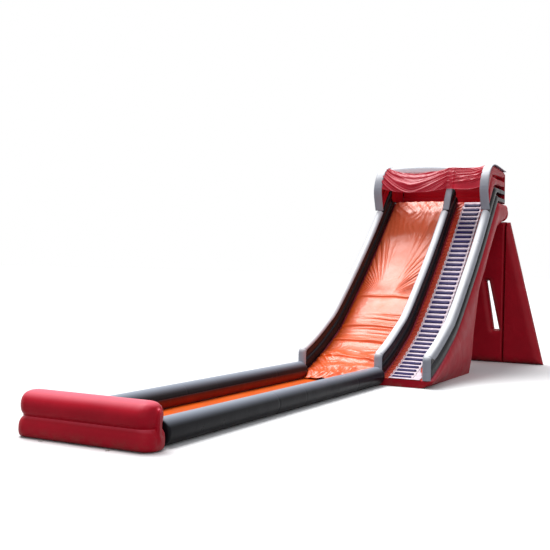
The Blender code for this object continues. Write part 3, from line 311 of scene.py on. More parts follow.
def nose_drop(y):
    """How far the wall's rounded top corner lies under its straight corner."""
    inset = np.clip(NOSE_RADIUS - (y - NOSE_Y), 0, NOSE_RADIUS)
    return NOSE_RADIUS - np.sqrt(NOSE_RADIUS**2 - inset**2)


# Meshes

def quads(rows, columns, wrap):
    across = columns if wrap else columns - 1
    r, c = np.meshgrid(np.arange(rows - 1), np.arange(across), indexing="ij")
    a = r * columns + c
    b = r * columns + (c + 1) % columns
    return np.stack([a, b, b + columns, a + columns], -1).reshape(-1, 4).tolist()


def volume_of(points, faces):
    total = 0.0
    for face in faces:
        a = points[face[0]]
        for i in range(1, len(face) - 1):
            total += np.dot(a, np.cross(points[face[i]], points[face[i + 1]]))
    return total


def outward(points, faces):
    """The faces of a closed skin, turned so that they face out."""
    if volume_of(points - points.mean(0), faces) < 0:
        return [face[::-1] for face in faces]
    return faces


def new_object(name, data):
    obj = bpy.data.objects.new(name, data)
    bpy.context.scene.collection.objects.link(obj)
    return obj


def piece(name, points, faces, material, covers=()):
    """An object from points in tower coordinates, which rides on the slide and replaces its solids."""
    points = np.asarray(points, float).reshape(-1, 3) + (0.0, SHIFT_Y, 0.0)
    mesh = bpy.data.meshes.new(name)
    mesh.from_pydata(points.tolist(), [], faces)
    mesh.shade_smooth()
    mesh.materials.append(material)
    obj = new_object(name, mesh)
    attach(obj, "slide")
    if covers:
        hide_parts(*covers)
    return obj


def grid_piece(name, points, material, covers=()):
    """An open sheet from rows of points."""
    return piece(name, points, quads(*points.shape[:2], False), material, covers)


def tubes(name, bodies, material, covers=()):
    """Closed skins in one object, each through rings of equal length and with flat caps."""
    points = []
    faces = []
    for rings in bodies:
        rows, columns = rings.shape[:2]
        flat = rings.reshape(-1, 3)
        own = quads(rows, columns, True)
        own.append(list(range(columns))[::-1])
        own.append(list(range((rows - 1) * columns, rows * columns)))
        start = sum(len(p) for p in points)
        faces += [[start + i for i in face] for face in outward(flat, own)]
        points.append(flat)
    return piece(name, np.vstack(points), faces, material, covers)


def padded_tubes(name, bodies, material, covers, sharp=None):
    """Air chambers through rings, with edges sharper than an angle kept hard."""
    obj = tubes(name, bodies, material, covers)
    if sharp:
        obj.data.set_sharp_from_angle(angle=radians(sharp))


def thicken(obj, thickness, direction=-1.0):
    modifier = obj.modifiers.new("cloth", "SOLIDIFY")
    modifier.thickness = thickness
    modifier.offset = direction
    return obj


def super_circle(count, power):
    """Points round a fat circle of radius 1, from the right and up over the top."""
    angle = np.linspace(0, 2 * pi, count, endpoint=False)
    c = np.cos(angle)
    s = np.sin(angle)
    return np.sign(c) * np.abs(c) ** (2 / power), np.sign(s) * np.abs(s) ** (2 / power)


ROUND = np.linspace(0, 2 * pi, 72, endpoint=False)


def strip(line, normals, sections):
    """Rings of a strip along a line; sections hold (x, height above the line) for each place."""
    return above(sections[..., 0], line[:, None], normals[:, None], sections[..., 1])


# Materials

def set_inputs(node, **values):
    """Values for a node's sockets, whose names have _ for each space."""
    for key, value in values.items():
        node.inputs[key.replace("_", " ")].default_value = value


class Nodes:
    """Short calls for building one material's node tree."""

    def __init__(self, name, slot):
        self.material = bpy.data.materials.new(name)
        self.material.use_nodes = True
        self.material["slot"] = slot
        self.tree = self.material.node_tree
        self.shader = self.tree.nodes["Principled BSDF"]
        self.place = self.add("ShaderNodeTexCoord").outputs["Object"]

    def add(self, kind, **settings):
        node = self.tree.nodes.new(kind)
        for key, value in settings.items():
            setattr(node, key, value)
        return node

    def join(self, source, target):
        self.tree.links.new(source, target)

    def stretch(self, scale):
        node = self.add("ShaderNodeMapping")
        set_inputs(node, Scale=scale)
        self.join(self.place, node.inputs["Vector"])
        return node.outputs["Vector"]

    def noise(self, scale, detail=3.0, roughness=0.55, vector=None, distortion=0.0):
        node = self.add("ShaderNodeTexNoise")
        set_inputs(node, Scale=scale, Detail=detail, Roughness=roughness, Distortion=distortion)
        self.join(vector or self.place, node.inputs["Vector"])
        return node.outputs["Fac"]

    def ramp(self, value, *limits):
        """A value mapped from low and high to 0 and 1, or to two other values."""
        node = self.add("ShaderNodeMapRange")
        set_inputs(node, **dict(zip(("From_Min", "From_Max", "To_Min", "To_Max"), limits)))
        self.join(value, node.inputs["Value"])
        return node.outputs["Result"]

    def mix(self, share, first, second):
        """One colour over another; each is numbers or a node's output."""
        node = self.add("ShaderNodeMix", data_type="RGBA")
        colours = [s for s in node.inputs if s.type == "RGBA"]
        for value, socket in ((share, node.inputs["Factor"]), (first, colours[0]), (second, colours[1])):
            if isinstance(value, tuple):
                socket.default_value = (*value, 1.0)
            else:
                self.join(value, socket)
        return next(s for s in node.outputs if s.type == "RGBA")

    def z_of(self, vector):
        node = self.add("ShaderNodeSeparateXYZ")
        self.join(vector, node.inputs["Vector"])
        return node.outputs["Z"]

    def fix(self, **numbers):
        set_inputs(self.shader, **numbers)

    def colour(self, source):
        self.join(source, self.shader.inputs["Base Color"])

    def roughness(self, source):
        self.join(source, self.shader.inputs["Roughness"])

    def bumps(self, layers):
        """Stacks bump layers, each (height, distance in metres)."""
        normal = None
        for height, distance in layers:
            node = self.add("ShaderNodeBump")
            node.inputs["Distance"].default_value = distance
            self.join(height, node.inputs["Height"])
            if normal:
                self.join(normal, node.inputs["Normal"])
            normal = node.outputs["Normal"]
        self.join(normal, self.shader.inputs["Normal"])


DUST = (0.19, 0.15, 0.11)
STRAP_DUST = (0.24, 0.19, 0.13)


def scaled(colour, factor):
    return tuple(min(1.0, c * factor) for c in colour)


def vinyl(name, slot, colour, painted_top_sheen=None, roughness=0.42, gloss=0.3, coat=0.0, worn=0.06, dirt=0.35,
          wrinkle=0.0012, scale=2.2, painted_sheen_range=(0.45, 1.0), painted_light_by_height=None):
    """Coated fabric: a painted sheen where it faces up, unevenly glossy, faintly creased, dusty by the
    ground.
    """
    n = Nodes(name, slot)
    spread = worn * 1.6
    cloudy = n.ramp(n.noise(0.9, 4.0, 0.6), 0.35, 0.68)
    base = n.mix(cloudy, scaled(colour, 1 - spread), scaled(colour, 1 + spread))
    scuffs = n.noise(2.6, 6.0, 0.72, n.stretch((1.0, 0.6, 1.6)), 0.6)
    base = n.mix(n.ramp(scuffs, 0.60, 0.80, 0.0, 0.30), base, scaled(colour, 0.62))
    if dirt:
        patchy = n.add("ShaderNodeMath", operation="MULTIPLY")
        n.join(n.ramp(n.z_of(n.place), 0.0, 0.34, 1.0, 0.0), patchy.inputs[0])
        n.join(n.ramp(n.noise(3.4, 5.0, 0.7), 0.40, 0.66, 0.0, dirt), patchy.inputs[1])
        base = n.mix(patchy.outputs["Value"], base, DUST)
    # Painted light by height: above a height the colour shifts towards another, copying how light falls
    # there.
    if painted_light_by_height:
        low, high, upper = painted_light_by_height
        base = n.mix(n.ramp(n.z_of(n.place), low, high), base, upper)
    # Painted sheen: the colour turns towards a paler one on faces that point up, standing in for top light
    # and sky reflection.
    if painted_top_sheen:
        up = n.add("ShaderNodeMath", operation="POWER")
        n.join(n.ramp(n.z_of(n.add("ShaderNodeNewGeometry").outputs["Normal"]), *painted_sheen_range), up.inputs[0])
        up.inputs[1].default_value = 1.6
        base = n.mix(up.outputs["Value"], base, painted_top_sheen)
    n.colour(base)
    n.roughness(n.ramp(n.noise(1.7, 5.0, 0.65), 0.30, 0.72, roughness - 0.07, roughness + 0.10))
    creases = n.noise(scale, 2.0, 0.45, n.stretch((1.0, 1.3, 0.8)), 1.4)
    weave = n.noise(160.0, 1.0, 0.5)
    n.bumps([(creases, wrinkle * 10), (n.noise(11.0, 3.0, 0.6), wrinkle), (weave, 0.0002)])
    n.fix(Specular_IOR_Level=gloss, Coat_Weight=coat, Coat_Roughness=0.13)
    return n.material


def moulded(name, slot, colour, roughness, metallic=0.0):
    """Moulded plastic or metal with fine grain, scratches and grime."""
    n = Nodes(name, slot)
    cloudy = n.noise(9.0, 4.0, 0.6)
    base = n.mix(n.ramp(cloudy, 0.35, 0.7), scaled(colour, 0.86), scaled(colour, 1.06))
    n.colour(n.mix(n.ramp(n.noise(38.0, 5.0, 0.8), 0.60, 0.78, 0.0, 0.5), base, scaled(colour, 0.45)))
    n.roughness(n.ramp(n.noise(24.0, 5.0, 0.7), 0.3, 0.7, roughness - 0.08, roughness + 0.14))
    n.bumps([(n.noise(60.0, 2.0), 0.0006), (n.noise(420.0, 2.0), 0.0003)])
    n.fix(Metallic=metallic)
    return n.material


def webbing(name, slot, colour):
    """Woven strap: a fine herringbone across the strap, and dust in it."""
    n = Nodes(name, slot)
    weave = n.add("ShaderNodeTexWave", wave_type="BANDS", bands_direction="DIAGONAL")
    set_inputs(weave, Scale=70.0, Distortion=1.5)
    n.join(n.place, weave.inputs["Vector"])
    base = n.mix(weave.outputs["Fac"], scaled(colour, 0.72), scaled(colour, 1.08))
    n.colour(n.mix(n.ramp(n.noise(14.0, 5.0, 0.7), 0.45, 0.75, 0.0, 0.6), base, STRAP_DUST))
    n.fix(Roughness=0.82)
    n.bumps([(weave.outputs["Fac"], 0.0012)])
    return n.material


def make_materials():
    # The second colour of each vinyl is a painted sheen for its faces that point up.
    return {
        "red": vinyl("red_vinyl", "red", (0.50, 0.008, 0.024), (0.86, 0.15, 0.21), gloss=0.12,
                     wrinkle=0.0005),
        "dark_red": vinyl("dark_red_vinyl", "dark_red", (0.44, 0.007, 0.020), (0.55, 0.10, 0.12), gloss=0.16),
        "canopy": vinyl("canopy_cloth", "red", (0.56, 0.012, 0.036), (0.85, 0.35, 0.38), dirt=0.0,
                        painted_sheen_range=(0.35, 1.1)),
        "black": vinyl("black_vinyl", "black", (0.010, 0.009, 0.012), (0.10, 0.105, 0.13), roughness=0.30,
                       gloss=0.10, dirt=0.15, wrinkle=0.0005),
        # Silver: the grey-blue first colour is painted shade for upright faces, the near white second colour
        # painted light on tops.
        "silver": vinyl("silver_vinyl", "silver", (0.40, 0.42, 0.48), (0.93, 0.94, 0.97), gloss=0.2,
                        worn=0.03, painted_sheen_range=(0.1, 0.75)),
        # A paler copy of the silver vinyl: painted light that takes the shade off the roof bar's front.
        "pale": vinyl("lit_silver_vinyl", "silver", (0.86, 0.91, 0.96), (0.93, 0.95, 0.97), roughness=0.45,
                      worn=0.02),
        # Orange cover: painted sheen, slightly paler and pinker higher up the slope.
        "orange": vinyl("orange_vinyl", "orange", (0.95, 0.125, 0.016), roughness=0.38, gloss=0.45,
                        coat=0.16, worn=0.05, dirt=0.1, scale=1.6, painted_light_by_height=(2.6, 5.4, (0.94, 0.165, 0.062))),
        "strip": vinyl("strip_vinyl", "orange", (0.66, 0.048, 0.012), worn=0.08, dirt=0.2),
        "bed": vinyl("bed_vinyl", "orange", (0.80, 0.115, 0.004), roughness=0.46, gloss=0.08, worn=0.05,
                     dirt=0.25),
        # Painted reflection: a dark red strip for the bed's reflection in the black runout tubes, turning
        # near black higher up.
        "lip": vinyl("bed_reflection_vinyl", "dark_red", (0.34, 0.020, 0.010), gloss=0.12, worn=0.08, wrinkle=0.0003,
                     painted_light_by_height=(0.10, 0.40, (0.030, 0.010, 0.011))),
        "runout": vinyl("runout_vinyl", "black", (0.009, 0.009, 0.012), (0.36, 0.40, 0.48), roughness=0.34,
                        gloss=0.07, worn=0.03, dirt=0.12, wrinkle=0.0002, painted_sheen_range=(0.36, 1.05)),
        "white": vinyl("white_vinyl", "white", (0.95, 0.86, 0.90), worn=0.02, dirt=0.1),
        "quilt": vinyl("quilt_vinyl", "white", (0.66, 0.52, 0.62), (0.80, 0.66, 0.75), worn=0.03, dirt=0.1,
                       painted_sheen_range=(0.3, 0.9)),
        "navy": vinyl("navy_foam", "navy", (0.020, 0.010, 0.095), roughness=0.5, gloss=0.12),
        "blower": moulded("blower_plastic", "blower", (0.75, 0.45, 0.03), 0.42),
        "steel": moulded("zinc_steel", "steel", (0.55, 0.56, 0.58), 0.32, 1.0),
        "rubber": moulded("black_plastic", "black", (0.02, 0.02, 0.022), 0.5),
        "webbing": webbing("polyester_webbing", "webbing", (0.66, 0.61, 0.50)),
    }


# Walls

WALL_STEP = 0.045
WALL_FRONT = 0.22


def with_rail(line, height, first_y):
    """A slope line that bends smoothly back into a nearly level rail beside the platform."""
    rail = [(first_y, height)] + [(y, height - 0.02 * (y - RAIL_ENDS[0])) for y in RAIL_ENDS]
    bend = through([line[-6], line[-1], *rail], 12)
    return np.vstack([line[:-6], bend[1:]])


def lobe_rings(outer, inner, run, x, half, seed, crease, across=40, front=0.10):
    """A tube that fills the space between two lines, crimped along its crease at +1 (top) or -1."""
    c, s = super_circle(across, LOBE_POWER)
    middle = (outer + inner) / 2
    reach = (outer - inner) / 2
    ahead = round_share(middle[:, 0] - middle[0, 0] + 0.002, front, LOBE_POWER)
    behind = 0.5 + 0.5 * round_share(run[-1] - run + 0.004, 0.10)
    width = half * (1 - (1 - ahead) * 0.96) * behind - 0.002
    near = np.exp(-((s - crease) / 0.22) ** 2)
    pucker = crimp(run, 0.17, seed)[:, None] * near * soft_step(run, 0.1, 0.4)[:, None]
    slack = 0.003 * noise(run[:, None] / 0.8 + seed, np.linspace(0, 9, across))
    lift = s - 0.03 * crease * np.abs(pucker)
    sideways = x + c * (width[:, None] + 0.007 * pucker) + c * np.minimum(slack, 0.0)
    return above(sideways, middle[:, None], reach[:, None], lift)


def make_wall(side, x, materials):
    """Two stacked black tubes; the outer walls' tubes bend back into rails beside the platform."""
    outer = slope_offset(GAP)
    outer[:, 1] -= nose_drop(outer[:, 0])
    lines = [outer, *map(slope_offset, (UPPER_LOBE, UPPER_LOBE + GAP, WALL_HEIGHT - GAP))]
    if side != "middle":
        lines = [with_rail(line, *rail) for line, rail in zip(lines, RAILS.values())]
    seed = x * 3.1
    for name, pair, crease, more in (("upper", lines[:2], -1, 0), ("lower", lines[2:], 1, 5)):
        top, bottom, run = pair_up(*pair, WALL_STEP)
        rings = lobe_rings(top, bottom, run, x, LOBE_HALF, seed + more, crease, front=WALL_FRONT)
        padded_tubes(f"{side}_wall_{name}_lobe", [rings], materials["black"], [f"{side}_{name}_tube"])


def ribbon_line():
    """The band's path: up the nose, round its top corner and along the slope."""
    rise = SLOPE[0, 1] - NOSE_RADIUS
    front = np.stack([np.full(16, NOSE_Y), np.linspace(RIBBON_FOOT_Z, rise, 16)], 1)
    angle = np.linspace(0, pi / 2, 12)[1:]
    y = NOSE_Y + NOSE_RADIUS * (1 - np.cos(angle))
    corner = np.stack([y, np.interp(y, SLOPE[:, 0], SLOPE[:, 1]) - NOSE_RADIUS * (1 - np.sin(angle))], 1)
    slope = SLOPE[: BREAK + 1]
    return np.vstack([front, corner, slope[slope[:, 0] > y[-1] + 0.02]])


def make_ribbon(side, x, materials):
    """The silver band over a wall: crowned on top, and on an outer wall turned down its outer side."""
    line = ribbon_line()
    run = run_of(line)
    places = np.r_[0.0, np.arange(0.015, 1.4, 0.022), np.arange(1.42, run[-1], 0.04), run[-1]]
    line = sample(line, places)
    sign = SIDES.get(side, -1)
    lip = radians(RIBBON_LIP)
    on_slope = soft_step(places, 0.85, 1.30)
    far = np.full(len(places), lip) if side == "middle" else lip + on_slope * radians(RIBBON_TURN)
    share = np.linspace(0, 1, 34)
    angle = -lip + share * (far[:, None] + lip)
    rim = np.minimum(share, 1 - share) * 2

    def shell(half, height, extra):
        s = np.sin(angle)
        c = np.cos(angle)
        px = (half + extra) * np.sign(s) * np.abs(s) ** (2 / LOBE_POWER)
        h = -UPPER_LOBE / 2 + (height + extra) * np.sign(c) * np.abs(c) ** (2 / LOBE_POWER)
        return np.stack([x + sign * px, h], -1)

    ruck = 0.005 * crimp(places, 0.12, x)[:, None] * np.exp(-rim / 0.16)
    pleats = 0.007 * np.sin(places * 2 * pi / 0.055)[:, None] * bump(places, 0.95, 0.20)[:, None]
    pleats = pleats * np.exp(-rim / 0.22)
    seams = -0.009 * sum(bump(places, place, 0.020) for place in (*RIBBON_SEAMS[side], *NOSE_SEAMS))[:, None]
    slack = 0.004 * noise(places[:, None] * 1.3, share * 4 + x)
    outside = shell(LOBE_HALF + RIBBON_EDGE, UPPER_LOBE / 2 + RIBBON_CROWN, ruck + pleats + seams + slack)
    inside = shell(LOBE_HALF + 0.001, UPPER_LOBE / 2 + 0.001, 0.0)
    rings = strip(line, normals_of(line), np.concatenate([outside, inside[:, ::-1]], axis=1))
    padded_tubes(side + "_wall_ribbon", [rings], materials["silver"], [side + "_ribbon"], 50)


def make_arch_band(side, x, materials):
    """The silver band round the cabin's side."""
    line, places = evenly(ARCH, 0.04)
    seam = bump(places, 1.02, 0.025)
    middle = np.full(len(places), x + ARCH_OUT * np.sign(x))
    make_band(side + "_arch_cover", line, middle, places, seam, materials, [side + "_arch_band"],
              ARCH_HALF)


def make_post(materials):
    """The silver post on the middle wall, which leans back and to the right under the canopy."""
    line, places = evenly(through(POST_LINE, 12), 0.035)
    rise = np.clip((line[:, 1] - line[0, 1]) / (POST_HEM_Z - line[0, 1]), 0, 1)
    x = POST_X[0] + rise * (POST_X[1] - POST_X[0])
    make_band("middle_post_cover", line, x, places, 0 * x, materials, ["middle_arch_band"])


def make_band(name, line, x, places, seam, materials, covers, half=WALL_WIDTH / 2):
    """A crowned silver band along a line, rounded at its ends."""
    across = np.linspace(-1, 1, 22)
    full = round_share(np.minimum(places, places[-1] - places) + 0.006, 0.05)
    crown = 0.028 + (ARCH_CROWN - 0.028) * (1 - np.abs(across) ** 2.4) ** (1 / 2.4)
    height = crown * (0.35 + 0.65 * full[:, None]) - 0.008 * seam[:, None]
    height = height + 0.003 * crimp(places, 0.2, x[0])[:, None] * np.abs(across) ** 4
    top = np.stack([np.broadcast_to(x[:, None] + across * half, height.shape), height], -1)
    base = top[:, ::-1].copy()
    base[..., 1] = GAP
    rings = strip(line, normals_of(line), np.concatenate([top, base], axis=1))
    padded_tubes(name, [rings], materials["silver"], covers, 50)


def make_cabin_tubes(side, x, materials):
    """Two red tubes between the silver arch and the wall's upper rail, which part towards the rear."""
    top_line = with_rail(slope_offset(GAP), *RAILS["upper_top"])
    inner = offset(top_line[BREAK:], 2 * GAP)
    arch = offset(ARCH[8:], -2 * GAP)
    arch[0] += (0.01, 0.0)
    shares = np.linspace(0, 1, 90)
    outer, inner, seam = (at_shares(line, shares) for line in (arch, inner, through(CABIN_SEAM, 12)))
    part = soft_step(shares, 0.33, 0.68)
    under = seam - (-GAP, GAP) - np.stack([0 * part, SIDE_SLOTS[0] * part], 1)
    inner = inner + np.stack([0 * part, SIDE_SLOTS[1] * part], 1)
    for name, high, low, crease in (("outer", outer, seam, -1), ("inner", under, inner, 1)):
        top, bottom, run = pair_up(high, low, 0.04)
        rings = lobe_rings(top, bottom, run, x, TUBE_HALF, x * 2.3 + crease, crease, across=32)
        title = f"{side}_cabin_{name}_"
        padded_tubes(title + "lobe", [rings], materials["red"], [title + "tube"])


# Tower

def slab_lines(fine):
    """Matching points along the slab's top and along its base, rear face and underside."""
    coarse_bed = BED[::FINE]
    flat = [(coarse_bed[-1][0] + 0.5, PLATFORM), (CABIN_REAR_Y, PLATFORM), (SLAB_REAR_Y, PLATFORM)]
    coarse = np.vstack([coarse_bed, flat])
    total = run_of(coarse)
    corners = np.array(SLAB_CORNERS)
    bottom = at_shares(corners, total / total[-1])
    for corner in corners:
        bottom[np.argmin(np.linalg.norm(bottom - corner, axis=1))] = corner
    top = straight(coarse, fine)
    sloped = (len(coarse_bed) - 1) * fine + 1
    places = np.interp(np.arange(sloped) / fine, np.arange(len(coarse_bed)), BED_RUN[::FINE])
    top[:sloped] = sample(BED, places)
    return top, straight(bottom, fine)


def make_slab(materials):
    """The sloped air chamber under both lanes, with lengthwise channels behind and below."""
    top, bottom = slab_lines(6)
    reach = SLAB_HALF - GAP
    xs = np.linspace(reach, -reach, 120)
    tuck = np.abs(np.sin(pi * (xs + reach) / (2 * reach / round(2 * reach / CHANNEL)))) ** 0.55
    normal = -normals_of(bottom)
    off_ground = soft_step(bottom[:, 1], 0.02, 0.5)
    sunk = (1 - tuck) * off_ground[:, None]
    depth = sunk * (0.075 + 0.010 * crimp(run_of(bottom), 0.19, 3.3)[:, None])
    low = xyz(xs, bottom[:, None, 0] + normal[:, None, 0] * -depth,
              np.maximum(bottom[:, None, 1] + normal[:, None, 1] * -depth, 0.0))
    across = np.linspace(-reach, reach, 30)
    seams = np.abs(np.sin(pi * (across + reach) / (2 * reach / 8))) ** 0.5
    floor = soft_step(top[:, 0], 9.9, 10.2)
    high = xyz(across, top[:, None, 0], top[:, None, 1] - 0.02 * floor[:, None] * (1 - seams))
    rings = lean(np.concatenate([high, low], axis=1))
    padded_tubes("tower_chamber", [rings], materials["red"], ["tower_slab"], sharp=55)


def make_flank(side, materials):
    """A side panel that bulges between the wall's foot and the ground, crimped along its seams."""
    sign = SIDES[side]
    top, bottom = slab_lines(10)
    share, bulge = through(FLANK_PROFILE, 7).T
    run = run_of(top)
    tall = np.linalg.norm(top - bottom, axis=1)
    edge = round_share(run + 0.01, 0.5) * round_share(run[-1] - run + 0.01, 0.35)
    x = FLANK_INNER + (bulge - FLANK_INNER) * (0.45 + 0.55 * edge[:, None])
    depth = share * tall[:, None]
    rise = (1 - share) * tall[:, None]
    seam = np.exp(-(depth / 0.22) ** 2) + np.exp(-(rise / 0.20) ** 2)
    x = x + 0.002 * seam * crimp(run[:, None] + 0.2 * share, 0.40, 2.7 * sign)
    x = x + 0.008 * noise(run[:, None] / 1.6, depth / 1.2 + sign) * (1 - np.minimum(seam, 1))
    for place in FLANK_SEAMS:
        x = x - 0.010 * bump(run[:, None] - 0.25 * depth, place, 0.035)
    skin = xyz(sign * x, *(top[:, None, i] + share * (bottom - top)[:, None, i] for i in (0, 1)))
    edges = [xyz(sign * SLAB_HALF, line[:, 0], line[:, 1])[:, None] for line in (bottom, top)]
    rings = lean(np.concatenate([skin, *edges], axis=1))
    padded_tubes(side + "_side_chamber", [rings], materials["red"], [side + "_flank"], sharp=50)


PUFF_STEP = 0.085
RIM_ROWS = (0.012, 0.03, 0.06, 0.10)


def within(points, loop):
    """Which points lie inside a loop."""
    inside = np.zeros(len(points), bool)
    ring = np.array(loop)
    for a, b in zip(ring, np.roll(ring, -1, 0)):
        crosses = (a[1] > points[:, 1]) != (b[1] > points[:, 1])
        rise = b[1] - a[1] if b[1] != a[1] else 1e-9
        at = a[0] + (points[:, 1] - a[1]) * (b[0] - a[0]) / rise
        inside ^= crosses & (points[:, 0] < at)
    return inside


def in_panel(points, loops):
    """Which points lie inside the first loop and outside the others."""
    inside = within(points, loops[0])
    for hole in loops[1:]:
        inside &= ~within(points, hole)
    return inside


def rim_points(loops):
    """Points along all loops, a step apart and on each corner, and the edges between them."""
    rim = []
    edges = []
    for loop in loops:
        line = straight([*loop, loop[0]], 1)
        corners = run_of(line)[1:-1]
        places = np.arange(0, run_of(line)[-1] - PUFF_STEP / 2, PUFF_STEP)
        clear = np.min(np.abs(places[:, None] - corners), 1) > PUFF_STEP / 2
        places = np.unique(np.round(np.r_[places[clear], corners], 5))
        start = len(rim)
        rim += sample(line, places).tolist()
        count = len(rim) - start
        edges += [(start + i, start + (i + 1) % count) for i in range(count)]
    return np.array(rim), edges


def rows_by_rim(rim, edges, to_rim):
    """Rows of points at set distances from the rim."""
    rows = []
    for a, b in edges:
        a, b = rim[a], rim[b]
        along = (b - a) / max(np.linalg.norm(b - a), 1e-9)
        square = np.array([-along[1], along[0]])
        rows += [(a + b) / 2 + square * d * sign for d in RIM_ROWS for sign in (1, -1)]
    rows = np.array(rows)
    wanted = np.tile(np.repeat(RIM_ROWS, 2), len(edges))
    return rows[to_rim(rows) > wanted * 0.9]


def puffed(name, loops, y_middle, thickness, radius, material, covers, seams=(), sewn=()):
    """A flat chamber with rounded edges, from its outline and holes, with seams and sewn edges at some x."""
    rim, edges = rim_points(loops)
    low = rim.min(0)
    high = rim.max(0)

    def to_rim(p, sewn_share=1.0):
        best = np.full(len(p), 1e9)
        for a, b in edges:
            a, b = rim[a], rim[b]
            t = np.clip(((p - a) @ (b - a)) / max(((b - a) ** 2).sum(), 1e-12), 0, 1)
            away = np.linalg.norm(p - (a + t[:, None] * (b - a)), axis=1)
            if any(max(abs(a[0] - x), abs(b[0] - x)) < 1e-6 for x in sewn):
                away = away * sewn_share
            best = np.minimum(best, away)
        return best

    grid = np.meshgrid(*(np.arange(low[i], high[i], PUFF_STEP) for i in (0, 1)))
    inside = np.stack([g.ravel() for g in grid], 1)
    rows = rows_by_rim(rim, edges, to_rim)
    inside = inside[to_rim(inside) > RIM_ROWS[-1] + PUFF_STEP * 0.4]
    column = np.arange(low[1], high[1], 0.05)
    for seam in seams:
        for x in (seam, seam + 0.018, seam - 0.018, seam + 0.045, seam - 0.045):
            row = np.stack([np.full(len(column), x), column], 1)
            inside = inside[np.abs(inside[:, 0] - x) > 0.012]
            rows = np.vstack([rows, row[to_rim(row) > 0.11]])
    points = np.vstack([inside, rows])
    flat = np.vstack([rim, points[in_panel(points, loops)]])
    found, _edges, triangles, *_ = delaunay_2d_cdt([Vector(p) for p in flat], edges, [], 0, 1e-5)
    flat = np.array([tuple(p) for p in found])
    centres = np.array([flat[list(t)].mean(0) for t in triangles])
    triangles = [tuple(t) for t, good in zip(triangles, in_panel(centres, loops)) if good]
    distance = to_rim(flat)
    half = thickness / 2 * round_share(to_rim(flat, SEWN_EDGE_SHARE), radius)
    for seam in seams:
        sunk = np.exp(-np.abs(flat[:, 0] - seam) / 0.055) * soft_step(distance, 0.05, 0.3)
        half = half * (1 - 0.20 * sunk)
    ruck = crimp(flat[:, 1] + flat[:, 0] * 0.6, 0.23, name.count("e"))
    half = half * (1 + 0.05 * np.exp(-distance / 0.16) * ruck)
    on_rim = distance < 1e-4
    half[on_rim] = 0.0
    index_back = np.arange(len(flat))
    free = np.flatnonzero(~on_rim)
    index_back[free] = len(flat) + np.arange(len(free))
    front = xyz(flat[:, 0], y_middle - half, flat[:, 1])
    back = xyz(flat[free, 0], y_middle + half[free], flat[free, 1])
    points = np.vstack([front, back])
    faces = [list(t) for t in triangles] + [[int(index_back[i]) for i in t[::-1]] for t in triangles]
    piece(name, points, outward(points, faces), material, covers)


def make_rear_support(materials):
    """The rear panel with its two wind openings, and the outriggers sewn to it."""
    top = PANEL_TOP - GAP
    loops = [[(-PANEL_HALF, 0.0), (PANEL_HALF, 0.0), (PANEL_HALF, top), (-PANEL_HALF, top)]]
    loops += [[(sign * x, z) for x, z in WINDOW] for sign in SIDES.values()]
    middle = sum(PANEL_Y) / 2
    puffed("rear_support_panel", loops, middle, PANEL_Y[1] - PANEL_Y[0], PANEL_EDGE,
           materials["dark_red"], ["rear_panel"], seams=PANEL_SEAMS, sewn=(-PANEL_HALF, PANEL_HALF))
    top = PANEL_TOP - 0.02
    for side, sign in SIDES.items():
        inner = sign * (PANEL_HALF + GAP)
        loop = [(inner, 0.0), (sign * WING_FOOT, 0.0), (sign * WING_TOP, top), (inner, top)]
        puffed(side + "_outrigger", [loop], middle, WING_THICKNESS, WING_EDGE, materials["dark_red"],
               [side + "_wing"], sewn=(inner,))


def make_crossbar(materials):
    """The tube across the slab's rear, with domed and gathered ends."""
    half = CROSSBAR_HALF
    dome = 0.34
    into = np.r_[np.linspace(0, dome, 14), np.linspace(dome + 0.05, half, 40)]
    x = np.r_[-half + into, (half - into)[::-1][1:]][:, None]
    from_end = half - np.abs(x)
    size = round_share(from_end + 0.002, dome, 2.1)
    star = 0.035 * np.exp(-from_end / 0.14) * np.abs(np.sin(ROUND * 9))
    ridge = 0.006 * bump(from_end, dome, 0.03) * np.sin(ROUND * 30)
    radius = CROSSBAR_RADIUS * size * (1 - star) + ridge - 0.008
    rings = xyz(x, SLAB_REAR_Y + CROSSBAR_RADIUS + GAP + radius * np.cos(ROUND),
                PANEL_TOP + CROSSBAR_RADIUS + radius * np.sin(ROUND))
    padded_tubes("crossbar_tube", [rings], materials["red"], ["rear_crossbar"])


# Cabin

CANOPY_HEM = 1.08
CANOPY_TOP = 2.56
LEFT_SWAG = [(7.66, 8.17), (7.80, 8.58), (8.09, 8.92), (8.455, 9.15)]
RIGHT_SWAG = [(7.72, 8.28), (7.83, 8.72), (8.06, 9.06), (8.42, 9.36)]
CANOPY_PLACES = 60
EDGE = WALL_X - WALL_WIDTH / 2 - 0.002


def spaced(line):
    return sample(line, np.linspace(0, run_of(line)[-1], CANOPY_PLACES))


def canopy_points(xs, share):
    """The canopy from hem (0) to top (1): on the arches and the post, and hanging as a swag between."""
    post = POST_X[1]
    half = WALL_WIDTH / 2
    left = np.clip((xs + EDGE) / (post - half + EDGE), 0, 1)
    right = np.clip((xs - post - half) / (EDGE - post - half), 0, 1)
    on_left = xs < post
    along = np.where(on_left, left, right)
    on_arch = offset(sample(ARCH, np.linspace(CANOPY_HEM, CANOPY_TOP, CANOPY_PLACES)), 0.012)
    lines = [on_arch, spaced(through(CANOPY_MIDDLE, 12)) + (0.0, 0.004)]
    lines += [spaced(through(line, 20)) for line in (LEFT_SWAG, RIGHT_SWAG)]
    v = np.clip(share, 0, 1) * (CANOPY_PLACES - 1)
    numbers = np.arange(CANOPY_PLACES)
    arch, middle, hung_left, hung_right = (at_places(v, numbers, line) for line in lines)
    to_arch = np.where(on_left, 1 - left, right)[..., None]
    taut = middle + (arch - middle) * to_arch
    swag = np.where(on_left, np.sin(pi * left) ** 0.8, 0.9 * np.sin(pi * right) ** 0.8)[..., None]
    hung = np.where(on_left[..., None], hung_left, hung_right)
    return taut * (1 - swag) + hung * swag, swag[..., 0], along, on_left


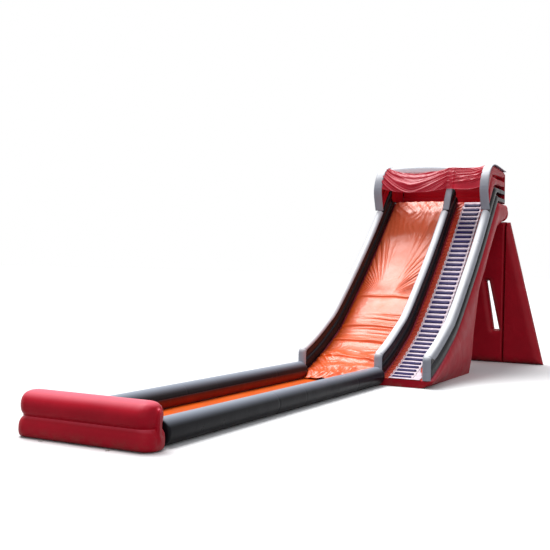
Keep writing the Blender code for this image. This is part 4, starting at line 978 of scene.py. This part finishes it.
def canopy_folds(xs, share, swag, along, on_left):
    """Heights of the folds: long sweeping ones in the left bay, short level ones in the right bay."""
    near_post = np.clip((along - 0.45) / 0.55, 0, 1)
    w = share + 0.44 * swag * (1 - 0.5 * share) - 0.10 * near_post
    drift = noise(xs * 0.8 + 3, w * 2.0)
    first = fold(4.6 * w + 0.50 * drift, 2.6)
    second = fold(9.8 * w + 0.8 * noise(xs * 1.1 + 9, w * 3.1), 2.2)
    third = fold(20.0 * w + 1.0 * noise(xs * 1.3 + 5, w * 4.3), 1.6)
    patch = 0.45 + 0.75 * np.clip(noise(xs * 0.9 + 14, w * 3.3) + 0.35, 0, 1)
    gathered = 0.45 + 0.55 * np.exp(-np.minimum(along, 1 - along) / 0.22)
    left_bay = 0.075 * first * patch + 0.034 * second * gathered * patch + 0.012 * third * gathered
    w = share + 0.05 * np.sin(pi * along) + 0.03 * (1 - along)
    upper = soft_step(share, 0.20, 0.30)
    first = fold(6.0 * w + 0.45 * noise(xs * 1.1 + 21, w * 2.2), 2.2)
    second = fold(14.0 * w + 0.7 * noise(xs * 1.4 + 31, w * 4.0), 1.8)
    right_bay = (0.046 * first + 0.024 * second) * (0.5 + 0.5 * patch) * upper
    return np.where(on_left, left_bay, right_bay)


def make_canopy(materials):
    """One cloth over both bays, hung from the arches, the post and the roof bar, with a hem."""
    xs, share = np.meshgrid(np.linspace(-EDGE, EDGE, 420), np.linspace(0, 1, 190))
    place, swag, along, on_left = canopy_points(xs, share)
    height = canopy_folds(xs, share, swag, along, on_left)
    over_post = np.exp(-((xs - POST_X[1]) / 0.15) ** 4)
    height = height * (1 - 0.85 * over_post) + 0.003 * rough_noise(share * 7, xs * 1.2 + 30)
    height = height * (1 - 0.6 * np.exp(-share / 0.05)) + 0.020 * np.exp(-share / 0.022)
    height = height * (1 - 0.85 * np.exp(-(1 - share) / 0.03))
    step = np.gradient(place, axis=0)
    normal = np.stack([-step[..., 1], step[..., 0]], -1)
    normal = normal / np.linalg.norm(normal, axis=-1)[..., None]
    place = place + normal * height[..., None]
    obj = grid_piece("cabin_canopy", lean(xyz(xs, place[..., 0], place[..., 1])), materials["canopy"],
                     ["left_canopy", "right_canopy"])
    thicken(obj, CANOPY_THICKNESS)


def make_roof_bar(materials):
    """The bar between the arches, which the canopy hangs from, in a paler copy of the silver: painted light
    that takes the shade off its front.
    """
    reach = WALL_X - WALL_WIDTH / 2 - GAP
    inset = np.r_[0.0, 0.01, 0.03, 0.06, 0.10]
    x = np.r_[-reach + inset, np.arange(-reach + 0.15, reach - 0.14, 0.05), reach - inset[::-1]]
    c, s = super_circle(48, 2.5)
    ends = 0.82 + 0.18 * round_share(reach - np.abs(x) + 0.004, 0.10)
    seams = sum(bump(x, place, 0.025) for place in BAR_SEAMS)
    size = (ends - 0.05 * seams + 0.012 * noise(x * 1.5, 4.0))[:, None]
    hump = 0.075 * np.clip(1 - ((x + 0.9) / 1.6) ** 2, 0, 1)[:, None]
    pucker = 0.006 * crimp(x, 0.16, 8.0)[:, None] * np.exp(-((s + 0.8) / 0.4) ** 2)
    deep = BAR_DEPTH / 2
    tall = BAR_THICKNESS / 2
    rings = xyz(x[:, None], BAR_FRONT_Y + deep + c * (deep * size + pucker),
                BAR_TOP - tall + s * tall * size + hump * np.clip(s + 0.2, 0, 1))
    padded_tubes("canopy_bar", [lean(rings)], materials["pale"], ["roof_bar"])


def make_back_wall(materials):
    """The red wall that closes the cabin's back, with level channels and a flap behind the side tubes."""
    reach = WALL_X - LOBE_HALF - 2 * GAP
    low = PLATFORM + GAP
    c, s = super_circle(120, 9.0)
    z = np.linspace(low, BACK_WALL_TOP, 70)
    deep = BACK_WALL_DEPTH / 2
    tuck = np.abs(np.sin(pi * (z - low) / (BACK_WALL_TOP - low) * 4)) ** 0.5
    size = round_share(np.minimum(z - low, BACK_WALL_TOP - z) + 0.02, 0.12)
    ruck = 1 + 0.04 * crimp(c * reach, 0.2, 2.0) * (1 - tuck)[:, None]
    y = CABIN_REAR_Y - deep + deep * (size * (0.74 + 0.26 * tuck))[:, None] * s * ruck
    wall = lean(xyz(reach * c, y, z[:, None]))
    flap = WALL_X + TUBE_HALF
    x = np.linspace(-flap, flap, 160)
    share = np.linspace(0, 1, 40)[:, None]
    wave = 0.010 * noise(x * 1.5, share * 4) + 0.004 * crimp(x, 0.15, 5.0)
    y = CABIN_REAR_Y + 0.014 + np.clip(wave, -0.008, 0.02)
    sheet = xyz(x, y, low + 0.01 + share * (BACK_WALL_TOP - low - 0.03))
    front, back = lean(sheet - (0, 0.004, 0)), lean(sheet + (0, 0.004, 0))
    panel = np.concatenate([front, back[:, ::-1]], axis=1)
    padded_tubes("cabin_back_wall", [wall, panel], materials["dark_red"], ["back_wall"])


def make_cabin_liners(materials):
    """Thin panels inside the cabin that close the slots between the side tubes."""
    front = BED[-1, 0] - 0.66
    rear = CABIN_REAR_Y - BACK_WALL_DEPTH - GAP
    low = RAILS["lower_bottom"][0] + 0.02
    y = np.linspace(front, rear, 60)[:, None]
    back = soft_step(y, front, front + 0.20)
    foot = low + 0.12 * (1 - back)
    top = LINING_TOP - 0.30 * (1 - back)
    share = np.linspace(0, 1, 30)
    z = foot + share * (top - foot)
    ripple = 0.003 * (noise(y * 3, z * 4) + crimp(y, 0.16, 1.0) * (2 * share - 1) ** 4)
    x = WALL_X - LOBE_HALF - GAP - 0.004 + ripple
    for side, sign in SIDES.items():
        obj = grid_piece(side + "_cabin_lining", lean(xyz(sign * x, y, z)), materials["dark_red"],
                         [side + "_cabin_liner"])
        thicken(obj, 0.004, 0.0)


# Lane covers

COVER_FALL = 0.205
COVER_FOOT = 0.50
COVER_HEAD = 0.22
COVER_LEAST = 0.012


def on_bed(x, along, height):
    """Points above the bed: x across, distance along it from the nose, and height over it."""
    along = np.asarray(along, float)
    line, normal = (at_places(along, BED_RUN, source) for source in (BED, BED_NORMALS))
    past = np.clip(along - BED_LENGTH, 0, None)
    before = np.clip(-along, 0, None)
    line = line + np.stack([past - before * 0.97, -COVER_FALL * soft_step(before, 0.0, 0.45)], -1)
    for flat in (soft_step(past, 0.0, 0.12)[..., None], soft_step(before, 0.0, 0.3)[..., None]):
        normal = normal * (1 - flat) + np.array([0.0, 1.0]) * flat
    return above(x, line, normal, height)


LANDING = 6.0
LEFT_FAN_X = -1.30
RIGHT_FAN_X = -1.05
FOOT_ROLLS = ((0.55, 0.07), (1.35, 0.06), (2.9, 0.04), (4.1, 0.04))
LEVEL_CREASES = ((4.02, 0.02, 0.030), (2.86, -0.02, 0.042), (6.10, 0.0, 0.034), (1.28, -0.10, 0.045))


def liner_forms(across, t):
    """The slide cover's large forms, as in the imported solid: rolls at the top, the middle and the foot."""
    from_top = BED_LENGTH - t
    roll = 0.17 * soft_step(from_top, -0.15, 1.0) * (1 - soft_step(from_top, 1.05, 4.6))
    below = 6.2 - t
    bulge = 0.075 * soft_step(below, 0.0, 0.95) * (1 - soft_step(below, 0.95, 2.6))
    rolls = sum(height * bump(t, place, 0.30) for place, height in FOOT_ROLLS)
    crown = np.clip(np.sin(pi * np.clip(across, 0, 1)), 0, 1) ** 0.20
    return 0.012 + (0.06 + roll + bulge + rolls) * crown


def fan(x, t, middle):
    """The angle and the distance from the landing spot, whose middle is at some x."""
    ahead = np.maximum(t - LANDING, 0.02)
    return np.arctan2(x - middle, ahead**1.1), np.hypot(x - middle, ahead)


def fan_folds(x, t):
    """Folds drawn towards the landing spot from both sides, as grooves at the left."""
    past = soft_step(t, LANDING + 0.05, LANDING + 0.5)
    swing, reach = fan(x, t, LEFT_FAN_X)
    zone = (1 - soft_step(x, -2.15, -1.35)) * past * (1 - soft_step(t, 9.0, 10.6))
    grooves = fold(swing * 11.5 + 0.35 * noise(swing * 5, reach * 0.8), 3.0)
    height = 0.050 * zone * (1 - grooves)

    swing, reach = fan(x, t, RIGHT_FAN_X)
    zone = soft_step(x, -1.0, -0.25) * past * (1 - 0.5 * soft_step(t, 11.4, 12.4))
    folds = fold(swing * 12.0 + 0.8 * noise(swing * 5 + 3, reach * 0.5), 2.4)
    folds = folds * (0.45 + 0.75 * np.clip(noise(swing * 7 + 9, reach * 0.9) + 0.3, 0, 1))
    height = height + 0.040 * zone * folds
    height = height + 0.030 * past * bump(swing, -0.27, 0.035) * bump(t, 9.7, 0.8)
    upper = soft_step(t, 9.6, 10.6) * (0.3 + 0.7 * soft_step(x, -2.0, -0.6))
    return height + 0.018 * upper * fold(swing * 22 + noise(swing * 9, reach), 1.6) * (1 - zone)


def liner_folds(x, t):
    """All folds of the slide cover: the fans, slanted rays on top, level ones below, and a slack foot."""
    height = fan_folds(x, t)
    rays = (x * 0.8 + (t - 12.0) * 0.55) / 0.34 + 0.7 * noise(x * 1.4 + 40, t * 1.2)
    height = height + 0.018 * soft_step(t, 11.4, 12.0) * fold(rays, 2.0)

    level = 0.45 * noise(x * 0.7 + 2, t * 0.9)
    band = soft_step(t, 2.5, 3.1) * (1 - soft_step(t, 4.5, 5.2)) * (0.25 + 0.75 * soft_step(x, -1.7, -0.6))
    height = height + 0.034 * band * fold((t - 0.12 * x) / 0.33 + level, 3.0)
    height = height + 0.010 * band * fold((t - 0.05 * x) / 0.12 + 2 * level, 2.0)
    for place, tilt, size in LEVEL_CREASES:
        line = place + tilt * x + 0.05 * noise(x * 1.2, place)
        height = height - size * bump(t, line - 0.06, 0.04) + size * bump(t, line + 0.05, 0.07)

    foot = 1 - soft_step(t, 1.6, 3.0)
    u = x * 0.9 + 0.5 * noise(x * 0.9 + 8, t * 0.8)
    v = t * 1.15 + 0.5 * noise(x * 1.0 + 20, t * 0.9)
    ridges = (1 - np.minimum(np.abs(noise(u, v)) * 1.6, 1)) ** 2
    fine = (1 - np.minimum(np.abs(noise(u * 2.3 + 5, v * 2.1)) * 1.5, 1)) ** 2
    height = height + foot * (0.075 * ridges + 0.020 * fine)
    bunched = 1 - soft_step(t, -0.1, 0.7)
    height = height + 0.045 * bunched * fold(x / 0.46 + 0.8 * noise(x * 1.2, t * 1.5) + 0.3 * t, 1.6)
    slant = (t * 0.75 + (x + 2.3) * 0.9) / 0.36 + 0.5 * noise(x, t)
    return height + 0.034 * (1 - soft_step(t, 1.3, 2.1)) * fold(slant, 2.2) * (1 - soft_step(x, -2.0, -1.4))


def liner_height(x, t):
    """How high the slide cover stands off the bed at x, a distance t along it."""
    right = MIDDLE_X - LOBE_HALF
    across = (x + LANE_HALF) / (LANE_HALF + right)
    hollow = 0.05 * bump(x, -1.15, 0.75) * bump(t, 6.35, 0.42)
    crinkle = 0.0025 * rough_noise(x * 6, t * 3.2) + 0.005 * rough_noise(x * 2.4, t * 1.6)
    return np.maximum(liner_forms(across, t) + liner_folds(x, t) - hollow + crinkle, COVER_LEAST)


def make_slide_liner(materials):
    """The loose glossy cover of the slide lane, from the platform's edge to the runout."""
    along = np.linspace(-COVER_FOOT, BED_LENGTH + COVER_HEAD, 620)[:, None]
    share = np.linspace(0, 1, 180)
    narrow = soft_step(-along, -0.05, 0.25)
    low = (0.012 - LANE_HALF) * (1 - narrow) + (-WALL_X + RUNOUT_RADIUS + 0.03) * narrow
    high = (MIDDLE_X - LOBE_HALF - 0.012) * (1 - narrow) + (MIDDLE_X - RUNOUT_RADIUS - 0.03) * narrow
    ragged = 0.10 * noise(share * 7, 3.0) + 0.03 * noise(share * 19, 8.0)
    t = along + ragged * np.clip((0.4 - along) / 0.9, 0, 1)
    x = low + share * (high - low)
    height = liner_height(x, t) * (1 - 0.45 * soft_step(-along, 0.10, 0.50))
    tucked = np.minimum(share, 1 - share) * (high - low)
    height = np.maximum(height * (0.45 + 0.55 * round_share(tucked + 0.01, 0.16)), COVER_LEAST)
    obj = grid_piece("slide_lane_cover", on_bed(x, t, height), materials["orange"], ["slide_liner"])
    thicken(obj, 0.004)


def make_stair_cover(materials):
    """The climbing lane's orange cover, with slanted folds beside the mat."""
    left = MIDDLE_X + LOBE_HALF + 0.012
    right = LANE_HALF - 0.012
    x, t = np.meshgrid(left + np.linspace(0, 1, 90) * (right - left), np.linspace(0.0, BED_LENGTH, 420))
    beside = np.exp(-np.minimum(np.abs(x - left), 0.5) / 0.22) + 0.5 * np.exp(-np.abs(right - x) / 0.1)
    slant = (t - 0.9 * (x - left)) / 0.24 + 0.4 * noise(t * 1.1, x * 2)
    folds = fold(slant, 2.0) * beside * (x < MAT_X[0] - 0.01) * round_share(MAT_X[0] - x, 0.12)
    height = 0.004 + 0.045 * folds + 0.012 * beside + 0.002 * rough_noise(x * 7, t * 5)
    under_mat = (x > MAT_X[0] - 0.02) & (x < MAT_X[1] + 0.02)
    height = np.where(under_mat, 0.003, np.maximum(height, 0.003))
    obj = grid_piece("stair_lane_cover", on_bed(x, t, height + GAP), materials["strip"], ["stair_liner"])
    thicken(obj, 0.0025)


def rung_places():
    pitch = BED_LENGTH / (RUNGS + 0.6)
    return [(number + 0.5) * pitch + RUNG_DEPTH / 2 for number in range(RUNGS)], pitch


def make_mat(materials):
    """The white mat, puffed between the rungs, scalloped along both sides and spread at its foot."""
    places, pitch = rung_places()
    along = np.linspace(-0.06, BED_LENGTH - 0.02, 900)[:, None]
    share = np.linspace(0, 1, 60)
    phase = (along - places[0]) / pitch
    between = np.sin(pi * phase) ** 2
    scallop = 0.035 * np.abs(np.sin(pi * phase)) ** 0.7
    low = MAT_X[0] + 0.02 - scallop * 0.6
    spread = 1 - soft_step(along, 0.25, 1.15)
    high = MAT_X[1] - 0.035 + scallop + 0.30 * spread
    x = low + share * (high - low)
    rim = round_share(np.minimum(share, 1 - share) * (high - low) + 0.004, 0.05)
    height = 0.016 + 0.008 * spread + (0.030 * between + 0.006) * rim
    height = height + 0.006 * rough_noise(x * 5, along * 9) * between
    points = on_bed(x, np.broadcast_to(np.maximum(along, -0.02), x.shape), height)
    obj = grid_piece("stair_quilt", points, materials["quilt"], ["stair_mat"])
    thicken(obj, 0.006)


def make_rungs(materials):
    """Rounded foam rungs, and the loops of strap that tie them."""
    places, pitch = rung_places()
    c, s = super_circle(20, 3.0)
    x = np.linspace(*RUNG_X, 26)[:, None]
    size = round_share(np.minimum(x - x[0], x[-1] - x) + 0.003, 0.04)
    height = 0.030 + RUNG_HEIGHT * (0.52 + 0.5 * s * size)
    rungs = []
    for number, place in enumerate(places):
        wobble = 0.006 * noise(x * 3 + number * 5.7, number * 1.3)
        t = place + wobble + RUNG_SPREAD / 2 * c * (0.5 + 0.5 * size)
        rungs.append(on_bed(np.broadcast_to(x, t.shape), t, height))
    tubes("climbing_rungs", rungs, materials["navy"], ["rung_ladder"])
    c, s = super_circle(8, 4.0)
    angle = np.linspace(0, pi, 13)[:, None]
    height = 0.045 + 0.028 * np.sin(angle) + 0.004 * s
    straps = []
    for x_base, sign in ((RUNG_X[0] - 0.03, -1), (RUNG_X[1] + 0.035, 1)):
        x = x_base + sign * 0.050 * np.sin(angle) + 0.014 * c
        for place in places[:-1]:
            t = np.broadcast_to(place + pitch * (0.5 - 0.5 * np.cos(angle)), x.shape)
            straps.append(on_bed(x, t, height))
    tubes("rung_strap_loops", straps, materials["white"])


# Runout

RUNOUT_END = -RUNOUT_LENGTH + GAP


def make_runout(materials):
    """Two long tubes with cross seams, and dark red strips up their inner sides that are painted reflection
    of the orange bed in the black vinyl.
    """
    high = NOSE_Y - 0.05 - 2 * GAP
    into = np.linspace(0, 0.14, 9)
    y = np.r_[RUNOUT_END + into, np.arange(RUNOUT_END + 0.18, high - 0.17, 0.045), high - into]
    y = np.unique(np.round(y, 5))[:, None]
    ends = 0.80 + 0.20 * round_share(np.minimum(y - RUNOUT_END, high - y), 0.10)
    seams = sum(bump(y, place, 0.020) for place in RUNOUT_SEAMS)
    turn = np.radians(np.linspace(-72, 4, 20))[None, :]
    reflection_strips = []
    for side, x, inward in (("left", -WALL_X, 1), ("right", MIDDLE_X, -1)):
        size = RUNOUT_RADIUS * ends - 0.010 * seams + 0.002 * noise(y / 4.0 + x) - 0.002
        z = np.maximum(RUNOUT_RADIUS + size * np.sin(ROUND) - 0.006, 0.0)
        rings = xyz(x + size * np.cos(ROUND), y, z)
        padded_tubes(side + "_runout_lobe", [rings], materials["runout"], [side + "_runout_tube"])
        wave = 0.002 * crimp(y, 0.5, x) + 0.003 * noise(y, turn * 2)
        # A thin shell over the tube's lower inner side that carries the painted reflection of the bed.
        skin = []
        for reach, up in ((RUNOUT_RADIUS + 0.002 + 0 * wave, turn),
                          ((RUNOUT_RADIUS + 0.009 + wave)[:, ::-1], turn[:, ::-1])):
            skin.append(xyz(x + inward * reach * np.cos(up), y, RUNOUT_RADIUS - 0.0055 + reach * np.sin(up)))
        reflection_strips.append(np.concatenate(skin, axis=1))
    lip = tubes("runout_bed_reflections", reflection_strips, materials["lip"])


def make_runout_floor(materials):
    """The low bed between the runout's tubes, with lengthwise channels."""
    left = -WALL_X + RUNOUT_RADIUS * 0.62
    right = MIDDLE_X - RUNOUT_RADIUS * 0.62
    share = np.linspace(0, 1, 90)
    x = left + share * (right - left)
    sunk = 1 - np.abs(np.sin(pi * share * 4)) ** 0.5
    y = np.arange(RUNOUT_END + 0.004, NOSE_Y - 0.014, 0.06)[:, None]
    edge = round_share(np.minimum(x - left, right - x) + 0.004, 0.10)
    height = BED_HEIGHT * (0.45 + 0.62 * edge) - 0.022 * sunk
    height = height - np.abs(0.006 * sunk * crimp(y, 0.22, 9.1)) + 0.004 * noise(y * 1.3, x * 3)
    top = xyz(x, y, height)
    base = top[:, ::-1].copy()
    base[..., 2] = 0.0
    rings = np.concatenate([top, base], axis=1)
    padded_tubes("runout_floor", [rings], materials["bed"], ["runout_bed"], 60)


BUMPER_SIDE = [(0.0, -0.30), (0.04, -0.425), (0.12, -0.478), (0.25, -0.489), (0.38, -0.473),
               (0.48, -0.435), (0.535, -0.395), (0.558, -0.372), (0.58, -0.395), (0.65, -0.440),
               (0.76, -0.470), (0.87, -0.474), (0.97, -0.448), (1.06, -0.392), (1.13, -0.312),
               (1.175, -0.225), (1.20, -0.12), (1.208, -0.04)]


def make_bumper(materials):
    """Two stacked lobes in one skin, pulled in sharply at the waist, with crimped rounded ends."""
    low, high = BUMPER_X
    inset = np.r_[0.0, 0.004, 0.012, 0.025, 0.045, 0.07, 0.10, 0.14, 0.18, 0.23, 0.28]
    x = np.r_[low + inset, np.arange(low + 0.32, high - 0.31, 0.035), high - inset[::-1]][:, None]
    side = through(BUMPER_SIDE, 5)
    z = np.r_[side[:, 0], side[::-1, 0]]
    y = np.r_[side[:, 1], -side[::-1, 1]]
    from_end = np.minimum(x - low, high - x)
    waist = np.exp(-np.abs(z - BUMPER_WAIST) / 0.05)
    set_in = np.maximum(from_end - 0.05 * soft_step(z, 0.50, 0.64) - 0.10 * waist, 0.0)
    full = round_share(set_in + 0.001, 0.34, 2.0)
    crimps = crimp(x, 0.19, 2.2) * waist * (0.3 + 0.7 * np.exp(-from_end / 0.35))
    pleats = crimp(x, 0.085, 6.0) * np.exp(-((z - 1.10) / 0.10) ** 2) * bump(from_end, 0.20, 0.16)
    slack = 0.006 * noise(x * 1.3, z * 3.0 + y) * full
    reach = y * (0.16 + 0.84 * full) + np.sign(y) * (0.012 * crimps + 0.010 * pleats + slack)
    lobe = 0.27 + 0.57 * soft_step(z, 0.46, 0.66)
    squeeze = (1 - full) * np.where(z > lobe, 0.52, 0.16)
    rise = z + (lobe - z) * squeeze - 0.010 * np.abs(pleats) * (z > 0.6)
    seam = 0.008 * bump(from_end, 0.26, 0.02) * (z > 0.06)
    rings = xyz(x, -RUNOUT_LENGTH - BUMPER_DEPTH / 2 + reach - np.sign(y) * seam, np.maximum(rise, 0.0))
    padded_tubes("bumper_chamber", [rings], materials["red"], ["bumper_lower_lobe", "bumper_upper_lobe"])


# Blowers and fittings

NECK_RADIUS = 0.13


def make_sleeves(materials):
    """The fabric ducts from the blowers: strapped to the outlet, blown round and gathered at both ends."""
    squarer = 1 / np.maximum(np.abs(np.cos(ROUND)), np.abs(np.sin(ROUND))) - 1
    for side in SIDES:
        low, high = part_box(side + "_inflation_sleeve")
        y = (np.linspace(low.y, high.y, 60) - SHIFT_Y)[:, None]
        share = (y[-1] - y) / (y[-1] - y[0])
        radius = (high.x - low.x) / 2
        blown = np.sin(pi * np.clip(share * 0.9 + 0.08, 0, 1)) ** 0.55
        neck = NECK_RADIUS + (radius - 0.012 - NECK_RADIUS) * blown
        gather = 0.010 * np.sin(ROUND * 18) * (np.exp(-share / 0.15) + np.exp(-(1 - share) / 0.15))
        r = neck * (1 + np.exp(-share / 0.12) * squarer * 0.4) + gather * 0.6
        r = r - 0.010 * bump(share, 0.06, 0.03)
        rings = xyz((low.x + high.x) / 2 + r * np.cos(ROUND), y,
                    np.maximum(low.z + radius * 0.94 + r * np.sin(ROUND), 0.012))
        padded_tubes(side + "_air_duct", [rings], materials["dark_red"], [side + "_inflation_sleeve"])


def dress_nodes(materials):
    """Finishes for the carried-over solids."""
    kinds = (("anchor_ring", "steel"), ("anchor_tab", "webbing"), ("blower_casing", "blower"),
             ("blower_fan", "steel"), ("blower_motor", "steel"), ("blower_switch", "rubber"),
             ("inlet_guard", "steel"), ("zip_slider", "steel"), ("zip_tape", "rubber"))
    for name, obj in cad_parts.items():
        for key, finish in kinds:
            if key in name:
                obj.data.materials.clear()
                obj.data.materials.append(materials[finish])


# Setting

SOFT_LIGHT = ((0.93, 0.95, 1.0, 1.0), 0.44)
WHITE = ((1.0, 1.0, 1.0, 1.0), 1.0)
SUNS = (("key_light", (-0.34, 0.16, 0.93), 3.2, 34.0), ("front_fill", (0.45, -0.80, 0.40), 0.55, 60.0))
FLOOR_REACH = 600.0
FLOOR_Z = -0.004
FLOOR_UNSEEN = (0.11, 0.11, 0.12, 1.0)
FLOOR_SEEN = (0.90, 0.90, 0.90, 1.0)
CAMERA_PLACE = (13.636, -33.891, 4.486)
CAMERA_TURN = (27.66, -0.466, -1.2227)
CAMERA_LENS = 60.0


def seen_or_mirrored(tree):
    """1 for rays from the camera, in a reflection or through glass, else 0."""
    path = tree.nodes.new("ShaderNodeLightPath")
    value = path.outputs["Is Camera Ray"]
    for kind in ("Is Glossy Ray", "Is Transmission Ray"):
        either = tree.nodes.new("ShaderNodeMath")
        either.operation = "MAXIMUM"
        tree.links.new(value, either.inputs[0])
        tree.links.new(path.outputs[kind], either.inputs[1])
        value = either.outputs["Value"]
    return value


def make_world():
    """A soft even light, which the camera and reflections see as white."""
    world = bpy.data.worlds.new("white_studio")
    bpy.context.scene.world = world
    world.use_nodes = True
    tree = world.node_tree
    chosen = tree.nodes.new("ShaderNodeMixShader")
    tree.links.new(seen_or_mirrored(tree), chosen.inputs["Fac"])
    skies = (tree.nodes["Background"], tree.nodes.new("ShaderNodeBackground"))
    for number, (sky, (colour, strength)) in enumerate(zip(skies, (SOFT_LIGHT, WHITE)), 1):
        set_inputs(sky, Color=colour, Strength=strength)
        tree.links.new(sky.outputs["Background"], chosen.inputs[number])
    tree.links.new(chosen.outputs["Shader"], tree.nodes["World Output"].inputs["Surface"])


def make_floor():
    """A plain pale floor that looks white and keeps the object's shadow."""
    corners = [(x * FLOOR_REACH, y * FLOOR_REACH, 0) for x, y in ((-1, -1), (1, -1), (1, 1), (-1, 1))]
    mesh = bpy.data.meshes.new("studio_floor")
    mesh.from_pydata(corners, [], [(0, 1, 2, 3)])
    floor = new_object("studio_floor", mesh)
    floor.location.z = FLOOR_Z
    material = bpy.data.materials.new("pale_floor")
    material.use_nodes = True
    tree = material.node_tree
    shader = tree.nodes["Principled BSDF"]
    set_inputs(shader, Roughness=0.9, Specular_IOR_Level=0.0)
    tint = tree.nodes.new("ShaderNodeMix")
    tint.data_type = "RGBA"
    for socket, colour in zip((s for s in tint.inputs if s.type == "RGBA"), (FLOOR_UNSEEN, FLOOR_SEEN)):
        socket.default_value = colour
    tree.links.new(seen_or_mirrored(tree), tint.inputs["Factor"])
    tree.links.new(next(s for s in tint.outputs if s.type == "RGBA"), shader.inputs["Base Color"])
    mesh.materials.append(material)


def make_sun(name, towards, strength, angle):
    light = bpy.data.lights.new(name, "SUN")
    light.energy = strength
    light.angle = radians(angle)
    new_object(name, light).rotation_euler = Vector(towards).to_track_quat("Z", "Y").to_euler()


def make_camera():
    """The photograph's viewpoint: turned left, nearly level and rolled slightly."""
    yaw, pitch, roll = (radians(a) for a in CAMERA_TURN)
    forward = Vector((-sin(yaw) * cos(pitch), cos(yaw) * cos(pitch), sin(pitch)))
    right = Vector((cos(yaw), sin(yaw), 0.0))
    up = right.cross(forward)
    columns = (right * cos(roll) - up * sin(roll), up * cos(roll) + right * sin(roll), -forward)
    data = bpy.data.cameras.new("camera")
    data.lens = CAMERA_LENS
    data.sensor_width = 36.0
    data.clip_end = 2000.0
    camera = new_object("camera", data)
    place = Vector(CAMERA_PLACE) + Vector((0.0, SHIFT_Y, 0.0))
    rows = [[*(column[row] for column in columns), place[row]] for row in range(3)]
    camera.matrix_world = Matrix([*rows, [0, 0, 0, 1]])
    bpy.context.scene.camera = camera


def main():
    bpy.context.scene.view_settings.view_transform = "Standard"
    make_camera()
    make_world()
    make_floor()
    for sun in SUNS:
        make_sun(*sun)
    materials = make_materials()
    for side, x in WALLS.items():
        make_wall(side, x, materials)
        make_ribbon(side, x, materials)
    make_post(materials)
    for side in SIDES:
        make_arch_band(side, WALLS[side], materials)
        make_cabin_tubes(side, WALLS[side], materials)
        make_flank(side, materials)
    make_slab(materials)
    make_rear_support(materials)
    make_crossbar(materials)
    make_canopy(materials)
    make_roof_bar(materials)
    make_back_wall(materials)
    make_cabin_liners(materials)
    make_slide_liner(materials)
    make_stair_cover(materials)
    make_mat(materials)
    make_rungs(materials)
    make_runout(materials)
    make_runout_floor(materials)
    make_bumper(materials)
    make_sleeves(materials)
    dress_nodes(materials)


main()
